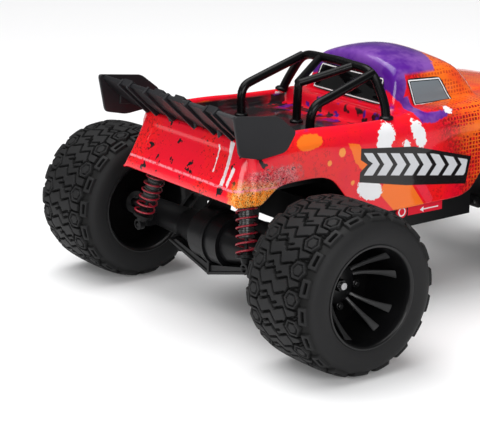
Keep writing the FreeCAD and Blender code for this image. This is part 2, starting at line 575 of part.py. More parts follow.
# ------------------------------------------------------------------ front suspension
hub_low, hub_high = "(wheelbase/2-hub_half)", "(wheelbase/2+hub_half)"
for side, sign in side_names():
    s = "%d*" % sign
    fork = "free_gap"
    arm = new_body("front_%s_lower_arm" % side)
    inner = (s + "arm_inner", "lower_arm_high")
    outer = (s + "arm_outer", "lower_arm_high")
    slot = s + "(arm_outer-barrel_half-0.9)"
    slab(arm, "Z", [("arm_back", s + "(arm_inner+2)"), ("arm_back", s + "(front_eye_side+6)"),
                    (hub_low + "-5.4", s + "arm_outer"), (hub_low + "-" + fork, s + "arm_outer"),
                    (hub_low + "-" + fork, slot), (hub_high + "+" + fork, slot),
                    (hub_high + "+" + fork, s + "arm_outer"), (hub_high + "+5.4", s + "arm_outer"),
                    ("arm_front+4", s + "(front_eye_side+6)"), ("arm_front", s + "(arm_inner+2)")],
         "lower_arm_high-arm_thick/2", "lower_arm_high+arm_thick/2")
    rod(arm, "X", inner, "barrel_half", "arm_back", "arm_front")
    for low, high in ((hub_low + "-5.4", hub_low + "-free_gap"), (hub_high + "+free_gap",
                                                                  hub_high + "+5.4")):
        rod(arm, "X", outer, "barrel_half", low, high)
    rod(arm, "X", inner, "pin_radius+running_gap", "arm_back-1", "arm_front+1", cut=True)
    rod(arm, "X", outer, "pin_radius", hub_low + "-3", hub_high + "+3")
    lug_low, lug_high = sided(sign, "front_eye_side-4", "front_eye_side+4")
    block(arm, ("front_eye_line+eye_half+1", "front_eye_line+eye_half+5"), (lug_low, lug_high),
          ("lower_arm_high", "front_eye_high+4"))
    rod(arm, "X", (s + "front_eye_side", "front_eye_high"), "pin_radius", "front_eye_line-eye_half-1",
        "front_eye_line+eye_half+3")

    link = new_body("front_%s_upper_arm" % side)
    inner = (s + "arm_inner", "upper_arm_high")
    outer = (s + "arm_outer", "upper_arm_high")
    bar_low, bar_high = sided(sign, "arm_inner+2", "arm_outer-barrel_half-3")
    block(link, ("wheelbase/2-3", "wheelbase/2+3"), (bar_low, bar_high), ("upper_arm_high-2",
                                                                          "upper_arm_high+2"))
    rod(link, "X", inner, "barrel_half", "wheelbase/2-upper_half", "wheelbase/2+upper_half")
    rod(link, "X", inner, "pin_radius+running_gap", "wheelbase/2-upper_half-1", "wheelbase/2+upper_half+1",
        cut=True)
    cross_low, cross_high = sided(sign, "arm_outer-barrel_half-4.9", "arm_outer-barrel_half-0.9")
    block(link, (hub_low + "-3.4", hub_high + "+3.4"), (cross_low, cross_high),
          ("upper_arm_high-2", "upper_arm_high+2"))
    for low, high in ((hub_low + "-3.4", hub_low + "-free_gap"), (hub_high + "+free_gap",
                                                                  hub_high + "+3.4")):
        cheek_low, cheek_high = sided(sign, "arm_outer-barrel_half-4.9", "arm_outer")
        block(link, (low, high), (cheek_low, cheek_high), ("upper_arm_high-2", "upper_arm_high+2"))
        rod(link, "X", outer, "barrel_half", low, high)
    rod(link, "X", outer, "pin_radius", hub_low + "-2", hub_high + "+2")

    carrier = new_body("front_%s_hub_carrier" % side)
    web_low, web_high = sided(sign, "arm_outer", "web_out")
    block(carrier, (hub_low, hub_high), (web_low, web_high), ("lower_arm_high-barrel_half",
                                                              "upper_arm_high+barrel_half"))
    ear_low, ear_high = sided(sign, "arm_outer", "hub_ear_out")
    block(carrier, (hub_low, hub_high), (ear_low, ear_high), ("lower_arm_high-barrel_half",
                                                              "lower_arm_high+0.4"))
    block(carrier, (hub_low, hub_high), (ear_low, ear_high), ("upper_arm_high-0.4",
                                                              "upper_arm_high+barrel_half"))
    for high, fit in (("lower_arm_high", "pin_radius+running_gap"), ("upper_arm_high",
                                                                     "pin_radius+free_gap")):
        rod(carrier, "X", (s + "arm_outer", high), "barrel_half", hub_low, hub_high)
        rod(carrier, "X", (s + "arm_outer", high), fit, hub_low + "-1", hub_high + "+1", cut=True)
    rod(carrier, "Z", ("wheelbase/2", s + "king_side"), "king_radius", "lower_arm_high", "upper_arm_high")

    knuckle = new_body("front_%s_knuckle" % side)
    rod(knuckle, "Z", ("wheelbase/2", s + "king_side"), "knuckle_radius", "lower_arm_high+0.6",
        "upper_arm_high-0.6")
    boss_low, boss_high = sided(sign, "king_side+1", hub_back + "-free_gap")
    rod(knuckle, "Y", ("wheelbase/2", "tyre_radius"), "5", boss_low, boss_high)
    stub_low, stub_high = sided(sign, "king_side+1", shaft_tip)
    rod(knuckle, "Y", ("wheelbase/2", "tyre_radius"), "shaft_radius", stub_low, stub_high)
    arm_low, arm_high = sided(sign, "king_side-3", "king_side+3")
    block(knuckle, ("wheelbase/2+1", "steer_line+3"), (arm_low, arm_high), ("rack_high-7", "rack_high-3"))
    rod(knuckle, "Z", ("steer_line", s + "king_side"), "pin_radius", "rack_high-4", "rack_high+3")
    rod(knuckle, "Z", ("wheelbase/2", s + "king_side"), "king_radius+running_gap", "lower_arm_high",
        "upper_arm_high", cut=True)

    tie = new_body("front_%s_tie_rod" % side)
    rod(tie, "X", (s + "rod_inner", "rack_high"), "rack_half", "steer_line-1.8", "steer_line+1.8")
    bar_low, bar_high = sided(sign, "rod_inner+2", "king_side-4")
    rod(tie, "Y", ("steer_line", "rack_high"), "1.6", bar_low, bar_high)
    rod(tie, "Z", ("steer_line", s + "king_side"), "5.4", "rack_high-2", "rack_high+2")
    rod(tie, "Z", ("steer_line", s + "king_side"), "pin_radius+loose_gap+0.9", "rack_high-3",
        "rack_high+3", cut=True)
    rod(tie, "X", (s + "rod_inner", "rack_high"), "pin_radius-0.3+running_gap", "steer_line-2",
        "steer_line+2",
        cut=True)

# ------------------------------------------------------------------ steering
rack = new_body("steering_rack")
block(rack, ("steer_line-rack_half", "steer_line+rack_half"), ("-(rod_inner-5)", "rod_inner-5"),
      ("rack_high-rack_half", "rack_high+rack_half"))
for side, sign in side_names():
    low, high = sided(sign, "rod_inner-8", "rod_inner+3")
    for ear in (("steer_line-4.6", "steer_line-2.2"), ("steer_line+2.2", "steer_line+4.6")):
        block(rack, ear, (low, high), ("rack_high-rack_half", "rack_high+rack_half"))
    rod(rack, "X", ("%d*rod_inner" % sign, "rack_high"), "pin_radius-0.3", "steer_line-4", "steer_line+4")
    low, high = sided(sign, "1.9", "4")
    block(rack, ("steer_line-rack_half", "steer_line+rack_half"), (low, high),
          ("rack_high", "servo_low-horn_thick-1"))

horn = new_body("servo_horn")
horn_low, horn_high = "servo_low-horn_thick-0.4", "servo_low-0.3"
rod(horn, "Z", ("horn_line", "0"), "4", horn_low, horn_high)
block(horn, ("steer_line-2", "horn_line"), ("-2", "2"), (horn_low, horn_high))
rod(horn, "Z", ("steer_line", "0"), "1.3", "rack_high+rack_half+0.4", horn_high)
rod(horn, "Z", ("horn_line", "0"), "2+running_gap", horn_low, horn_high, cut=True)

servo = new_body("steering_servo")
block(servo, ("servo_back", "servo_back+servo_long"), ("-servo_half", "servo_half"),
      ("servo_low", "servo_low+servo_tall"))
rod(servo, "Z", ("horn_line", "0"), "2", horn_low, "servo_low+1")

# ------------------------------------------------------------------ chassis
tub = new_body("chassis_tub")
inside = "tub_half-tub_wall"
block(tub, ("-tub_back", "tub_front"), ("-tub_half", "tub_half"), ("tub_low", "tub_top"))
block(tub, ("-tub_back+tub_wall", "tub_front-tub_wall"), ("-(%s)" % inside, inside),
      ("tub_low+tub_floor", "tub_top"), cut=True)
block(tub, ("-battery_back", "battery_front"), ("-battery_half", "battery_half"),
      ("tub_low", "tub_low+tub_floor"), cut=True)
block(tub, ("-bulkhead_back", "-bulkhead_back+bulkhead_thick"), ("-(%s)" % inside, inside),
      ("tub_low+tub_floor", "bulkhead_top"))
block(tub, ("tub_front-tub_wall", "beam_end"), ("-beam_half", "beam_half"), ("beam_low", "beam_top"))
block(tub, ("servo_back", "beam_end"), ("-servo_half-5", "servo_half+5"), ("beam_low", "beam_top"))
block(tub, ("block_back", "block_front"), ("-beam_half", "beam_half"), ("beam_low", "block_top"))
upper_ear = "wheelbase/2+upper_half+free_gap"
for side, sign in side_names():
    for wide in ("-link_width/2-free_gap-ear_thick", "+link_width/2+free_gap"):
        for link_side, high, drop in (("lower_link_side", "lower_link_high", "6"),
                                      ("upper_link_side", "upper_link_high", "5")):
            low, far = sided(sign, link_side + wide, link_side + wide + "+ear_thick")
            slab(tub, "Y", [("-bulkhead_back", "%s-%s" % (high, drop)), ("-bulkhead_back",
                                                                         "%s+%s" % (high, drop)),
                            ("-link_front-link_half", "%s+2.5" % high), ("-link_front-link_half",
                                                                         "%s-2.5" % high)],
                 low, far)
    low, far = sided(sign, "lower_link_side-link_width/2-2", "lower_link_side+link_width/2+2")
    block(tub, ("-tub_back", "-tub_back+tub_wall"), (low, far), ("tub_low+tub_floor", "tub_top"), cut=True)
    low, far = sided(sign, "rail_in", "rail_out")
    block(tub, ("-rear_tower_front+seat_gap", "-bulkhead_back"), (low, far), ("rail_low", "rail_top"))
    low, far = sided(sign, "beam_half-1", "ear_out")
    for ear in (("block_back", "arm_back-free_gap"), ("arm_front+free_gap", "block_front")):
        block(tub, ear, (low, far), ("lower_arm_high-4", "lower_arm_high+5"))
    for ear in (("wheelbase/2-upper_half-free_gap-3", "wheelbase/2-upper_half-free_gap"),
                (upper_ear, upper_ear + "+3")):
        block(tub, ear, (low, far), ("upper_arm_high-5", "upper_arm_high+5"))
    low, far = sided(sign, "servo_half+seat_gap", "servo_half+3")
    block(tub, ("servo_back", "servo_back+servo_long"), (low, far), ("beam_top-1",
                                                                     "servo_low+servo_tall-4"))
for guide in (("steer_line-rack_half-free_gap-1.6", "steer_line-rack_half-free_gap"),
              ("steer_line+rack_half+free_gap", "steer_line+rack_half+free_gap+1.6")):
    block(tub, guide, ("-beam_half", "beam_half"), ("beam_top-1", "rack_high+rack_half"))
block(tub, ("steer_line-rack_half-1", "steer_line+rack_half+1"), ("-beam_half", "beam_half"),
      ("beam_top-1", "rack_high-rack_half-seat_gap"))
rod(tub, "Y", ("-button_back", "button_high"), "button_radius+free_gap/2", "-tub_half", "-(%s)" % inside,
    cut=True)
for side, sign in side_names():
    wide = "link_width/2+free_gap+ear_thick"
    for link_side, high in (("lower_link_side", "lower_link_high"), ("upper_link_side", "upper_link_high")):
        low, far = sided(sign, "%s-%s" % (link_side, wide), "%s+%s" % (link_side, wide))
        rod(tub, "Y", ("-link_front", high), "pin_radius+seat_gap", low, far, cut=True)
    rod(tub, "X", ("%d*arm_inner" % sign, "lower_arm_high"), "pin_radius+seat_gap", "block_back",
        "block_front",
        cut=True)
    rod(tub, "X", ("%d*arm_inner" % sign, "upper_arm_high"), "pin_radius+seat_gap", "block_back",
        "block_front",
        cut=True)
screw_spots = [(x, y) for x in ("-(battery_back+door_edge/2)", "battery_front+door_edge/2")
               for y in ("-(battery_half-4)", "battery_half-4")]
for x, y in screw_spots:
    rod(tub, "Z", (x, y), "screw_radius+seat_gap", "tub_low", "tub_low+tub_floor", cut=True)

pins = new_body("hinge_pins")
for side, sign in side_names():
    wide = "link_width/2+free_gap+ear_thick+0.5"
    for link_side, high in (("lower_link_side", "lower_link_high"), ("upper_link_side", "upper_link_high")):
        low, far = sided(sign, "%s-%s" % (link_side, wide), "%s+%s" % (link_side, wide))
        rod(pins, "Y", ("-link_front", high), "pin_radius", low, far)
    rod(pins, "X", ("%d*arm_inner" % sign, "lower_arm_high"), "pin_radius", "block_back+0.5",
        "block_front+0.5")
    rod(pins, "X", ("%d*arm_inner" % sign, "upper_arm_high"), "pin_radius",
        "wheelbase/2-upper_half-free_gap-3.5", upper_ear + "+3.5")

door = new_body("battery_door")
block(door, ("-(battery_back+door_edge)", "battery_front+door_edge"),
      ("-(battery_half+door_edge)", "battery_half+door_edge"), ("tub_low-door_thick", "tub_low"))
screws = new_body("door_screws")
for x, y in screw_spots:
    rod(door, "Z", (x, y), "screw_radius+seat_gap", "tub_low-door_thick", "tub_low", cut=True)
    rod(door, "Z", (x, y), "screw_head+seat_gap", "tub_low-door_thick",
        "tub_low-door_thick+screw_head_thick", cut=True)
    rod(screws, "Z", (x, y), "screw_radius", "tub_low-door_thick", "tub_low+tub_floor+2")
    rod(screws, "Z", (x, y), "screw_head", "tub_low-door_thick", "tub_low-door_thick+screw_head_thick")

battery = new_body("battery_pack")
block(battery, ("-battery_back+1", "battery_front-1"), ("-battery_half+1", "battery_half-1"),
      ("tub_low", "tub_low+battery_tall"))
receiver = new_body("receiver_box")
block(receiver, ("0", "receiver_long"), ("battery_half+6", "battery_half+6+2*receiver_half"),
      ("tub_low+tub_floor", "tub_low+tub_floor+receiver_tall"))

button = new_body("power_button")
rod(button, "Y", ("-button_back", "button_high"), "button_radius", "-(tub_half+button_proud)",
    "-(tub_half-button_deep)")
rod(button, "Y", ("-button_back", "button_high"), "button_radius+2", "-(%s-seat_gap)" % inside,
    "-(%s-1.4)" % inside)

posts = new_body("body_posts")
hood_fall = "(shoulder_high-nose_top)*(front_tower_back-hood_back+3)/(nose_front-hood_back)"
for side, sign in side_names():
    rod(posts, "Z", ("-(rear_tower_front+tower_thick/2)", "%d*post_side" % sign), "2", "rear_tower_top",
        "bed_floor-skin-seat_gap")
    rod(posts, "Z", ("front_tower_back+tower_thick/2-0.5", "%d*(front_tower_half-4)" % sign), "1.8",
        "front_tower_top", "shoulder_high-%s-skin-0.6" % hood_fall)

bumper = new_body("front_bumper")
slab(bumper, "Z", [("beam_end+seat_gap", "-beam_half"), ("beam_end+seat_gap+3", "-bumper_half+8"),
                   ("beam_end-8", "-bumper_half"), ("bumper_front-6", "-bumper_half+4"),
                   ("bumper_front", "-beam_half"), ("bumper_front", "beam_half"),
                   ("bumper_front-6", "bumper_half-4"), ("beam_end-8", "bumper_half"),
                   ("beam_end+seat_gap+3", "bumper_half-8"), ("beam_end+seat_gap", "beam_half")],
     "bumper_low", "bumper_low+bumper_tall")

# ------------------------------------------------------------------ body shell
hull_side = new_body("hull_side", kept=False)
slab(hull_side, "Y", [
    ("-lip_back", "lip_high"), ("-crease_back", "crease_high"), ("-gate_top_back", "gate_top_high"),
    ("-tail_step_back", "rail_high"), ("hood_back", "shoulder_high"), ("nose_front", "nose_top"),
    ("nose_front", "nose_low"), ("front_arch_front", "nose_low"), ("front_arch_front",
                                                                   "front_arch_high-10"),
    ("front_arch_front-10", "front_arch_high"), ("front_arch_rise", "front_arch_high"),
    ("front_arch_back+6", "front_arch_high-14"), ("front_arch_back", "sill_high"), ("-sill_back",
                                                                                    "sill_high"),
    ("-rear_arch_front", "sill_high+11"), ("-rear_arch_front-9", "sill_high+21"), ("-rear_arch_mid",
                                                                                   "sill_high+33"),
    ("-rear_arch_mid-10", "rear_arch_high"), ("-rear_arch_back", "rear_arch_high"),
    ("-rear_arch_back-14", "lip_high-2")], "-belly_half-5", "belly_half+5")
hull_section = new_body("hull_section", kept=False)
tuck = "belly_half-(belly_half-belt_half)*(190-belly_high)/(rail_high-belly_high)"
slab(hull_section, "X", [("-belly_half", "sill_high-10"), ("belly_half", "sill_high-10"),
                         ("belly_half", "belly_high"), (tuck, "190"), ("-(%s)" % tuck, "190"),
                         ("-belly_half", "belly_high")], "-lip_back-5", "nose_front+5")
hull = combine("Part::Common", hull_side, hull_section)

void_side = new_body("void_side", kept=False)
gate_slope = "(crease_back-gate_top_back)/(gate_top_high-crease_high)"
gate_at_floor = "(crease_back-(bed_floor-skin-crease_high)*%s)" % gate_slope
slab(void_side, "Y", [
    ("-lip_back+skin", "sill_high-20"), ("-lip_back+skin", "lip_high"), ("-crease_back+skin",
                                                                         "crease_high"),
    ("-%s+skin" % gate_at_floor, "bed_floor-skin"), ("-bed_front+skin", "bed_floor-skin"),
    ("-bed_front+skin", "rail_high-skin"), ("hood_back", "shoulder_high-skin"), ("nose_front-skin",
                                                                                 "nose_top-skin"),
    ("nose_front-skin", "sill_high-20")], "-belly_half-5", "belly_half+5")
void_section = new_body("void_section", kept=False)
slab(void_section, "X", [("-belly_half+skin", "sill_high-25"), ("belly_half-skin", "sill_high-25"),
                         ("belly_half-skin", "belly_high"), ("%s-skin" % tuck, "190"),
                         ("-(%s)+skin" % tuck, "190"),
                         ("-belly_half+skin", "belly_high")], "-lip_back-5", "nose_front+5")
hull_void = combine("Part::Common", void_side, void_section)


def add_hood(inset):
    """The raised middle of the hood, or its hollow when inset by the skin."""
    hood = new_body("hood", kept=False)
    slab(hood, "Y", [("hood_back+%s" % inset, "shoulder_high-10"),
                     ("hood_back+12+%s*0.6" % inset, "shoulder_high+hood_rise-%s" % inset),
                     ("nose_front-4-%s" % inset, "nose_top+2-%s" % inset),
                     ("nose_front-4-%s" % inset, "nose_top-8")],
         "-hood_half+%s" % inset, "hood_half-%s" % inset)
    return hood


def add_cab(inset):
    """The cab's outer shape, or its hollow when inset by the skin."""
    side = new_body("cab_side", kept=False)
    foot = "cab_base-4" if inset == "0" else "cab_base-8"
    slab(side, "Y", [("-cab_back+%s" % inset, foot), ("-cab_back+%s" % inset, "cab_base"),
                     ("-cab_back+2+%s" % inset, "rear_pane_high"), ("-roof_back+%s*0.8" % inset,
                                                                    "roof_edge-%s*0.6" % inset),
                     ("roof_peak_at", "roof_peak-%s" % inset), ("roof_front-%s*0.5" % inset,
                                                                "roof_front_high-%s" % inset),
                     ("cab_front-%s" % inset, "shoulder_high+hood_rise-4-%s*0.5" % inset),
                     ("cab_front-%s" % inset, foot)],
         "-cab_base_half-5", "cab_base_half+5")
    section = new_body("cab_section", kept=False)
    half = [("cab_base_half-%s" % inset, "cab_base-10"), ("cab_base_half-%s" % inset, "cab_base"),
            ("cab_base_half-2-%s" % inset, "cab_base+18"), ("roof_half+2-%s" % inset, "roof_edge-3"),
            ("roof_half-4-%s*0.6" % inset, "roof_edge+2-%s*0.6" % inset),
            ("roof_half*0.6", "roof_peak-2-%s" % inset)]
    other = [("-(%s)" % across, up) for across, up in half]
    slab(section, "X", half + [("0", "roof_peak-%s" % inset)] + other[::-1], "-cab_back-5", "cab_front+5")
    return combine("Part::Common", side, section)


def add_panes(inset):
    """Prisms through the cab's walls where the windows are, smaller by inset all round."""
    side = new_body("side_panes", kept=False)
    for low, high in (("-cab_base_half-4", "-roof_half+14"), ("roof_half-14", "cab_base_half+4")):
        slab(side, "Y", [("side_pane_back+%s" % inset, "side_pane_low+%s" % inset),
                         ("side_pane_front-%s" % inset, "side_pane_low+%s" % inset),
                         ("side_pane_front-side_pane_rake-%s" % inset, "side_pane_top-%s" % inset),
                         ("side_pane_back-2+%s" % inset, "side_pane_top-%s" % inset)], low, high)
    ends = new_body("end_panes", kept=False)
    for name, low, high in (("rear", "-cab_back-4", "-cab_back+9"), ("wind", "roof_front-6",
                                                                     "cab_front+4")):
        foot = "%s_pane_half-%s" % (name, inset)
        head = "%s_pane_half-%s_pane_rake-%s" % (name, name, inset)
        slab(ends, "X", [("-(%s)" % foot, "%s_pane_low+%s" % (name, inset)), (foot,
                                                                              "%s_pane_low+%s" % (name,
                                                                                                  inset)),
                         (head, "%s_pane_high-%s" % (name, inset)), ("-(%s)" % head,
                                                                     "%s_pane_high-%s" % (name, inset))],
             low, high)
    return combine("Part::Fuse", side, ends)


cab, cab_void = add_cab("0"), add_cab("skin")
solid = combine("Part::Fuse", combine("Part::Fuse", hull, add_hood("0")), cab)
hollow = combine("Part::Fuse", combine("Part::Fuse", hull_void, add_hood("skin")), cab_void)
bed = new_body("bed_hollow", kept=False)
block(bed, ("-bed_back", "-bed_front"), ("-bed_half", "bed_half"), ("bed_floor", "rail_high+5"))
opened = combine("Part::Cut", combine("Part::Cut", solid, hollow), bed)
combine("Part::Cut", opened, add_panes("0"), "body_shell")
cab_skin = combine("Part::Cut", cab, cab_void)
combine("Part::Common", cab_skin, add_panes("seat_gap"), "window_panels")

# ------------------------------------------------------------------ roll cage
cage_bars = []
for side, sign in side_names():
    y = "%d*" % sign
    corner = spot(("-hoop_line", y + "hoop_half", "hoop_high"))
    bend = spot(("-stay_back", y + "stay_half", "stay_high"))
    hoop_foot = spot(("-hoop_line-2", y + "hoop_foot_half", "rail_high+0.8+cage_collar"))
    stay_foot = spot(("-stay_back-1", y + "(stay_half-2)", "bed_floor+cage_collar"))
    vee = spot(("-hoop_line", y + "vee_half", "hoop_high-0.5"))
    middle = spot(("-mid_back", "0", "mid_high"))
    for first, last in ((corner, hoop_foot), (corner, bend), (bend, stay_foot), (vee, middle)):
        cage_bars.append(bar_between(first, last, "cage_tube"))
    for centre in (corner, bend):
        ball = doc.addObject("Part::Sphere", "Bend")
        bind(ball, "Radius", "cage_tube")
        ball.Placement.Base = centre
        cage_bars.append(ball)
    for foot, seat in ((hoop_foot, "rail_high+0.7"), (stay_foot, "bed_floor+seat_gap")):
        base = Vector(foot.x, foot.y, size(seat))
        cage_bars.append(bar_between(base, Vector(foot.x, foot.y, foot.z + 1), "cage_tube+1"))
left, right = (spot(("-hoop_line", text, "hoop_high")) for text in ("hoop_half", "-hoop_half"))
cage_bars.append(bar_between(right, left, "cage_tube"))
middle_foot = spot(("-mid_back-2", "0", "bed_floor+cage_collar"))
cage_bars.append(bar_between(middle, middle_foot, "cage_tube"))
base = Vector(middle_foot.x, 0, size("bed_floor+seat_gap"))
cage_bars.append(bar_between(base, middle_foot + Vector(0, 0, 1), "cage_tube+1"))
knee = doc.addObject("Part::Sphere", "Bend")
bind(knee, "Radius", "cage_tube")
knee.Placement.Base = middle
cage_bars.append(knee)
fused("roll_cage", cage_bars)

# ------------------------------------------------------------------ wing
blade = new_body("rear_wing")
slab(blade, "Y", [("-wing_back", "wing_top"), ("-wing_front", "wing_low"), ("-wing_front+wing_thick*0.7",
     "wing_low+wing_thick*0.7"), ("-wing_back+wing_thick*0.7", "wing_top+wing_thick*0.7")],
     "-wing_half", "wing_half")
for fin in ("0", "fin_side", "-fin_side", "fin_outer", "-fin_outer"):
    slab(blade, "Y", [("-wing_back", "wing_top"), ("-wing_back-fin_rise*0.4", "wing_top-fin_rise"),
                      ("-wing_front-fin_rise", "wing_low-fin_rise*0.2"), ("-wing_front", "wing_low")],
         fin + "-fin_thick/2", fin + "+fin_thick/2")
for post in ("0", "wing_post_side", "-wing_post_side"):
    rod(blade, "Z", ("-wing_post_back", post), "wing_post", "gate_top_high+2", "wing_low+3")

for side, sign in side_names():
    low, high = sided(sign, "wing_half", "wing_half+plate_thick")
    slab(blade, "Y", [("-wing_back-4", "wing_top+2"), ("-wing_back+1", "wing_low-4"), ("-wing_front-9",
                                                                                       "wing_low-8.5"),
                      ("-wing_front+14", "wing_low-6.5"), ("-wing_front+24", "wing_low+7.5"),
                      ("-wing_front+8", "wing_top-3")], low, high)

# ------------------------------------------------------------------ checks and files
doc.recompute()
for thing in doc.Objects:
    state = " ".join(thing.State)
    if "Invalid" in state or "Error" in state:
        raise RuntimeError("%s (%s) failed: %s" % (thing.Name, thing.Label, state))
for cut in cuts:
    if cut.Shape.Volume > cut.BaseFeature.Shape.Volume - 0.01:
        raise RuntimeError("%s in %s cuts nothing" % (cut.Name, cut.getParentGeoFeatureGroup().Label))
labels = [node.Label for node in nodes]
if len(set(labels)) != len(labels):
    raise RuntimeError("two nodes share a name: %s" % sorted(labels))
for node in nodes:
    shape = node.Shape
    if shape.isNull() or not shape.isValid():
        raise RuntimeError("%s is null or not valid" % node.Label)
for node in nodes:
    node.Shape.exportStep("parts/%s.step" % node.Label)
    box = node.Shape.BoundBox
    print("%-26s solids %d volume %9.0f  x %.1f %.1f  y %.1f %.1f  z %.1f %.1f" % (
        node.Label, len(node.Shape.Solids), node.Shape.Volume, box.XMin, box.XMax, box.YMin, box.YMax,
        box.ZMin, box.ZMax))
print("nodes", len(nodes))
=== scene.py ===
import math
import bmesh
import bpy
import numpy as np
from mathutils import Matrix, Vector


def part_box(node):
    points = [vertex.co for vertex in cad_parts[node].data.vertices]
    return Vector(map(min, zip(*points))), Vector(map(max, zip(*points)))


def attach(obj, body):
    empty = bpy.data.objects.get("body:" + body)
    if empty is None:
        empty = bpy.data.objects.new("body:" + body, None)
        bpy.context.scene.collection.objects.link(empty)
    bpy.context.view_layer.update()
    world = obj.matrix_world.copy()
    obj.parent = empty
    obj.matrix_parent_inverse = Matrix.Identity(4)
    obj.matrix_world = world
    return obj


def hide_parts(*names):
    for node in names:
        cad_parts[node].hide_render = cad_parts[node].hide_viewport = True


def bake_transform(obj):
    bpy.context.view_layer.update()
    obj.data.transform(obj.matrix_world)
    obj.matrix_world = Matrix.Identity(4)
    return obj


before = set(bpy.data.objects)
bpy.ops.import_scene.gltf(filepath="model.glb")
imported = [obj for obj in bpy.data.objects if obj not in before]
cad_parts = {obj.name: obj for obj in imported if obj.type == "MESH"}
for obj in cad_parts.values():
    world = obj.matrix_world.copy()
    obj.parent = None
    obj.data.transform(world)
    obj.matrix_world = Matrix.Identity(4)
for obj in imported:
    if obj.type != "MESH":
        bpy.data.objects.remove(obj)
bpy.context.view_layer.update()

print("frame loaded")

# Lengths below are in millimetres in the row frame; makePiece turns them into metres.
mm = 0.001
sides = {"left": 1, "right": -1}
axles = {"rear": -131.0, "front": 131.0}
wheelHeight, wheelMiddle = 60.0, 137.7


# Quads of a rows x cols lattice: cell (i, j) joins points (i, j), (i, j+1), (i+1, j+1), (i+1, j)
def gridFaces(rows, cols, wrapRows=False, wrapCols=False):
    a, b = np.meshgrid(np.arange(rows - (not wrapRows)), np.arange(cols - (not wrapCols)), indexing="ij")
    nextA, nextB = (a + 1) % rows, (b + 1) % cols
    quads = np.stack([a * cols + b, a * cols + nextB, nextA * cols + nextB, nextA * cols + b], -1)
    return quads.reshape(-1, 4).tolist()


# Several (points, faces) pairs as one: each part's face numbers are shifted by the points before it
def merged(parts):
    points, faces, count = [], [], 0
    for partPoints, partFaces in parts:
        points.append(np.asarray(partPoints, float))
        faces += [[k + count for k in face] for face in partFaces]
        count += len(partPoints)
    return np.concatenate(points), faces


# One finished mesh object with its normals outward, its material and the body that carries it, the CAD parts it
# replaces hidden
def makePiece(name, part, body, material, replaced=(), angle=35, extra=None):
    points, faces = part
    mesh = bpy.data.meshes.new(name)
    mesh.from_pydata((np.asarray(points) * mm).tolist(), [], faces)
    bm = bmesh.new()
    bm.from_mesh(mesh)
    bmesh.ops.recalc_face_normals(bm, faces=bm.faces)
    bm.to_mesh(mesh)
    bm.free()
    mesh.shade_smooth()
    mesh.set_sharp_from_angle(angle=math.radians(angle))
    for key, values in (extra or {}).items():
        layer = mesh.attributes.new(key, "FLOAT", "POINT")
        layer.data.foreach_set("value", np.asarray(values, np.float32))
    piece = bpy.data.objects.new(name, mesh)
    bpy.context.scene.collection.objects.link(piece)
    mesh.materials.append(material)
    if body:
        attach(piece, body)
    if replaced:
        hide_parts(*replaced)
    return piece


# Cubic subdivision along one axis: old points become (before + 6 here + after) / 8, new ones are midpoints
def refine(grid, axis, times):
    for _ in range(times):
        grid = np.moveaxis(grid, axis, 0)
        finer = np.empty((2 * len(grid) - 1,) + grid.shape[1:])
        finer[1::2] = (grid[:-1] + grid[1:]) / 2
        finer[0], finer[-1] = grid[0], grid[-1]
        finer[2:-1:2] = (grid[:-2] + 6 * grid[1:-1] + grid[2:]) / 8
        grid = np.moveaxis(finer, 0, axis)
    return grid


# A path with each inner corner swapped for a quadratic arc that starts radius before it and ends radius after
def rounded(points, radius, steps=6):
    points = np.asarray(points, float)
    out = [points[0]]
    for before, corner, after in zip(points, points[1:], points[2:]):
        reachIn = min(radius, np.linalg.norm(before - corner) * 0.48)
        reachOut = min(radius, np.linalg.norm(after - corner) * 0.48)
        start = corner + (before - corner) / np.linalg.norm(before - corner) * reachIn
        end = corner + (after - corner) / np.linalg.norm(after - corner) * reachOut
        t = np.linspace(0, 1, steps + 1)[:, None]
        out += list((1 - t) ** 2 * start + 2 * t * (1 - t) * corner + t * t * end)
    out.append(points[-1])
    return np.array(out)


# A round tube: at each path point a circle in the plane across the path, capped by a fan at either end
def tube(path, radius, around=14, reference=(0.13, 0.31, 0.94), capped=True):
    path = np.asarray(path, float)
    radius = np.broadcast_to(np.asarray(radius, float), len(path))
    tangent = np.gradient(path, axis=0)
    tangent /= np.linalg.norm(tangent, axis=1)[:, None]
    first = np.cross(tangent, reference)
    first /= np.linalg.norm(first, axis=1)[:, None]
    second = np.cross(tangent, first)
    turn = np.linspace(0, 2 * math.pi, around, endpoint=False)
    ring = first[:, None] * np.cos(turn)[None, :, None] + second[:, None] * np.sin(turn)[None, :, None]
    points = (path[:, None] + ring * radius[:, None, None]).reshape(-1, 3)
    faces = gridFaces(len(path), around, wrapCols=True)
    if capped:
        faces += [list(range(around))[::-1], list(range(len(points) - around, len(points)))]
    return points, faces


# A solid of turning about a line through centre along axis: profile rows are (along, radius), closed on itself
def lathe(profile, centre, axis, around=64, closed=True):
    profile = np.asarray(profile, float)
    axis = np.asarray(axis, float) / np.linalg.norm(axis)
    first = np.cross(axis, (0.0, 0.0, 1.0) if abs(axis[2]) < 0.9 else (1.0, 0.0, 0.0))
    first /= np.linalg.norm(first)
    second = np.cross(axis, first)
    turn = np.linspace(0, 2 * math.pi, around, endpoint=False)
    ring = first[None] * np.cos(turn)[:, None] + second[None] * np.sin(turn)[:, None]
    points = (np.asarray(centre, float) + profile[None, :, :1] * axis + profile[None, :, 1:] * ring[:,
            None])
    return points.reshape(-1, 3), gridFaces(around, len(profile), wrapRows=True, wrapCols=closed)


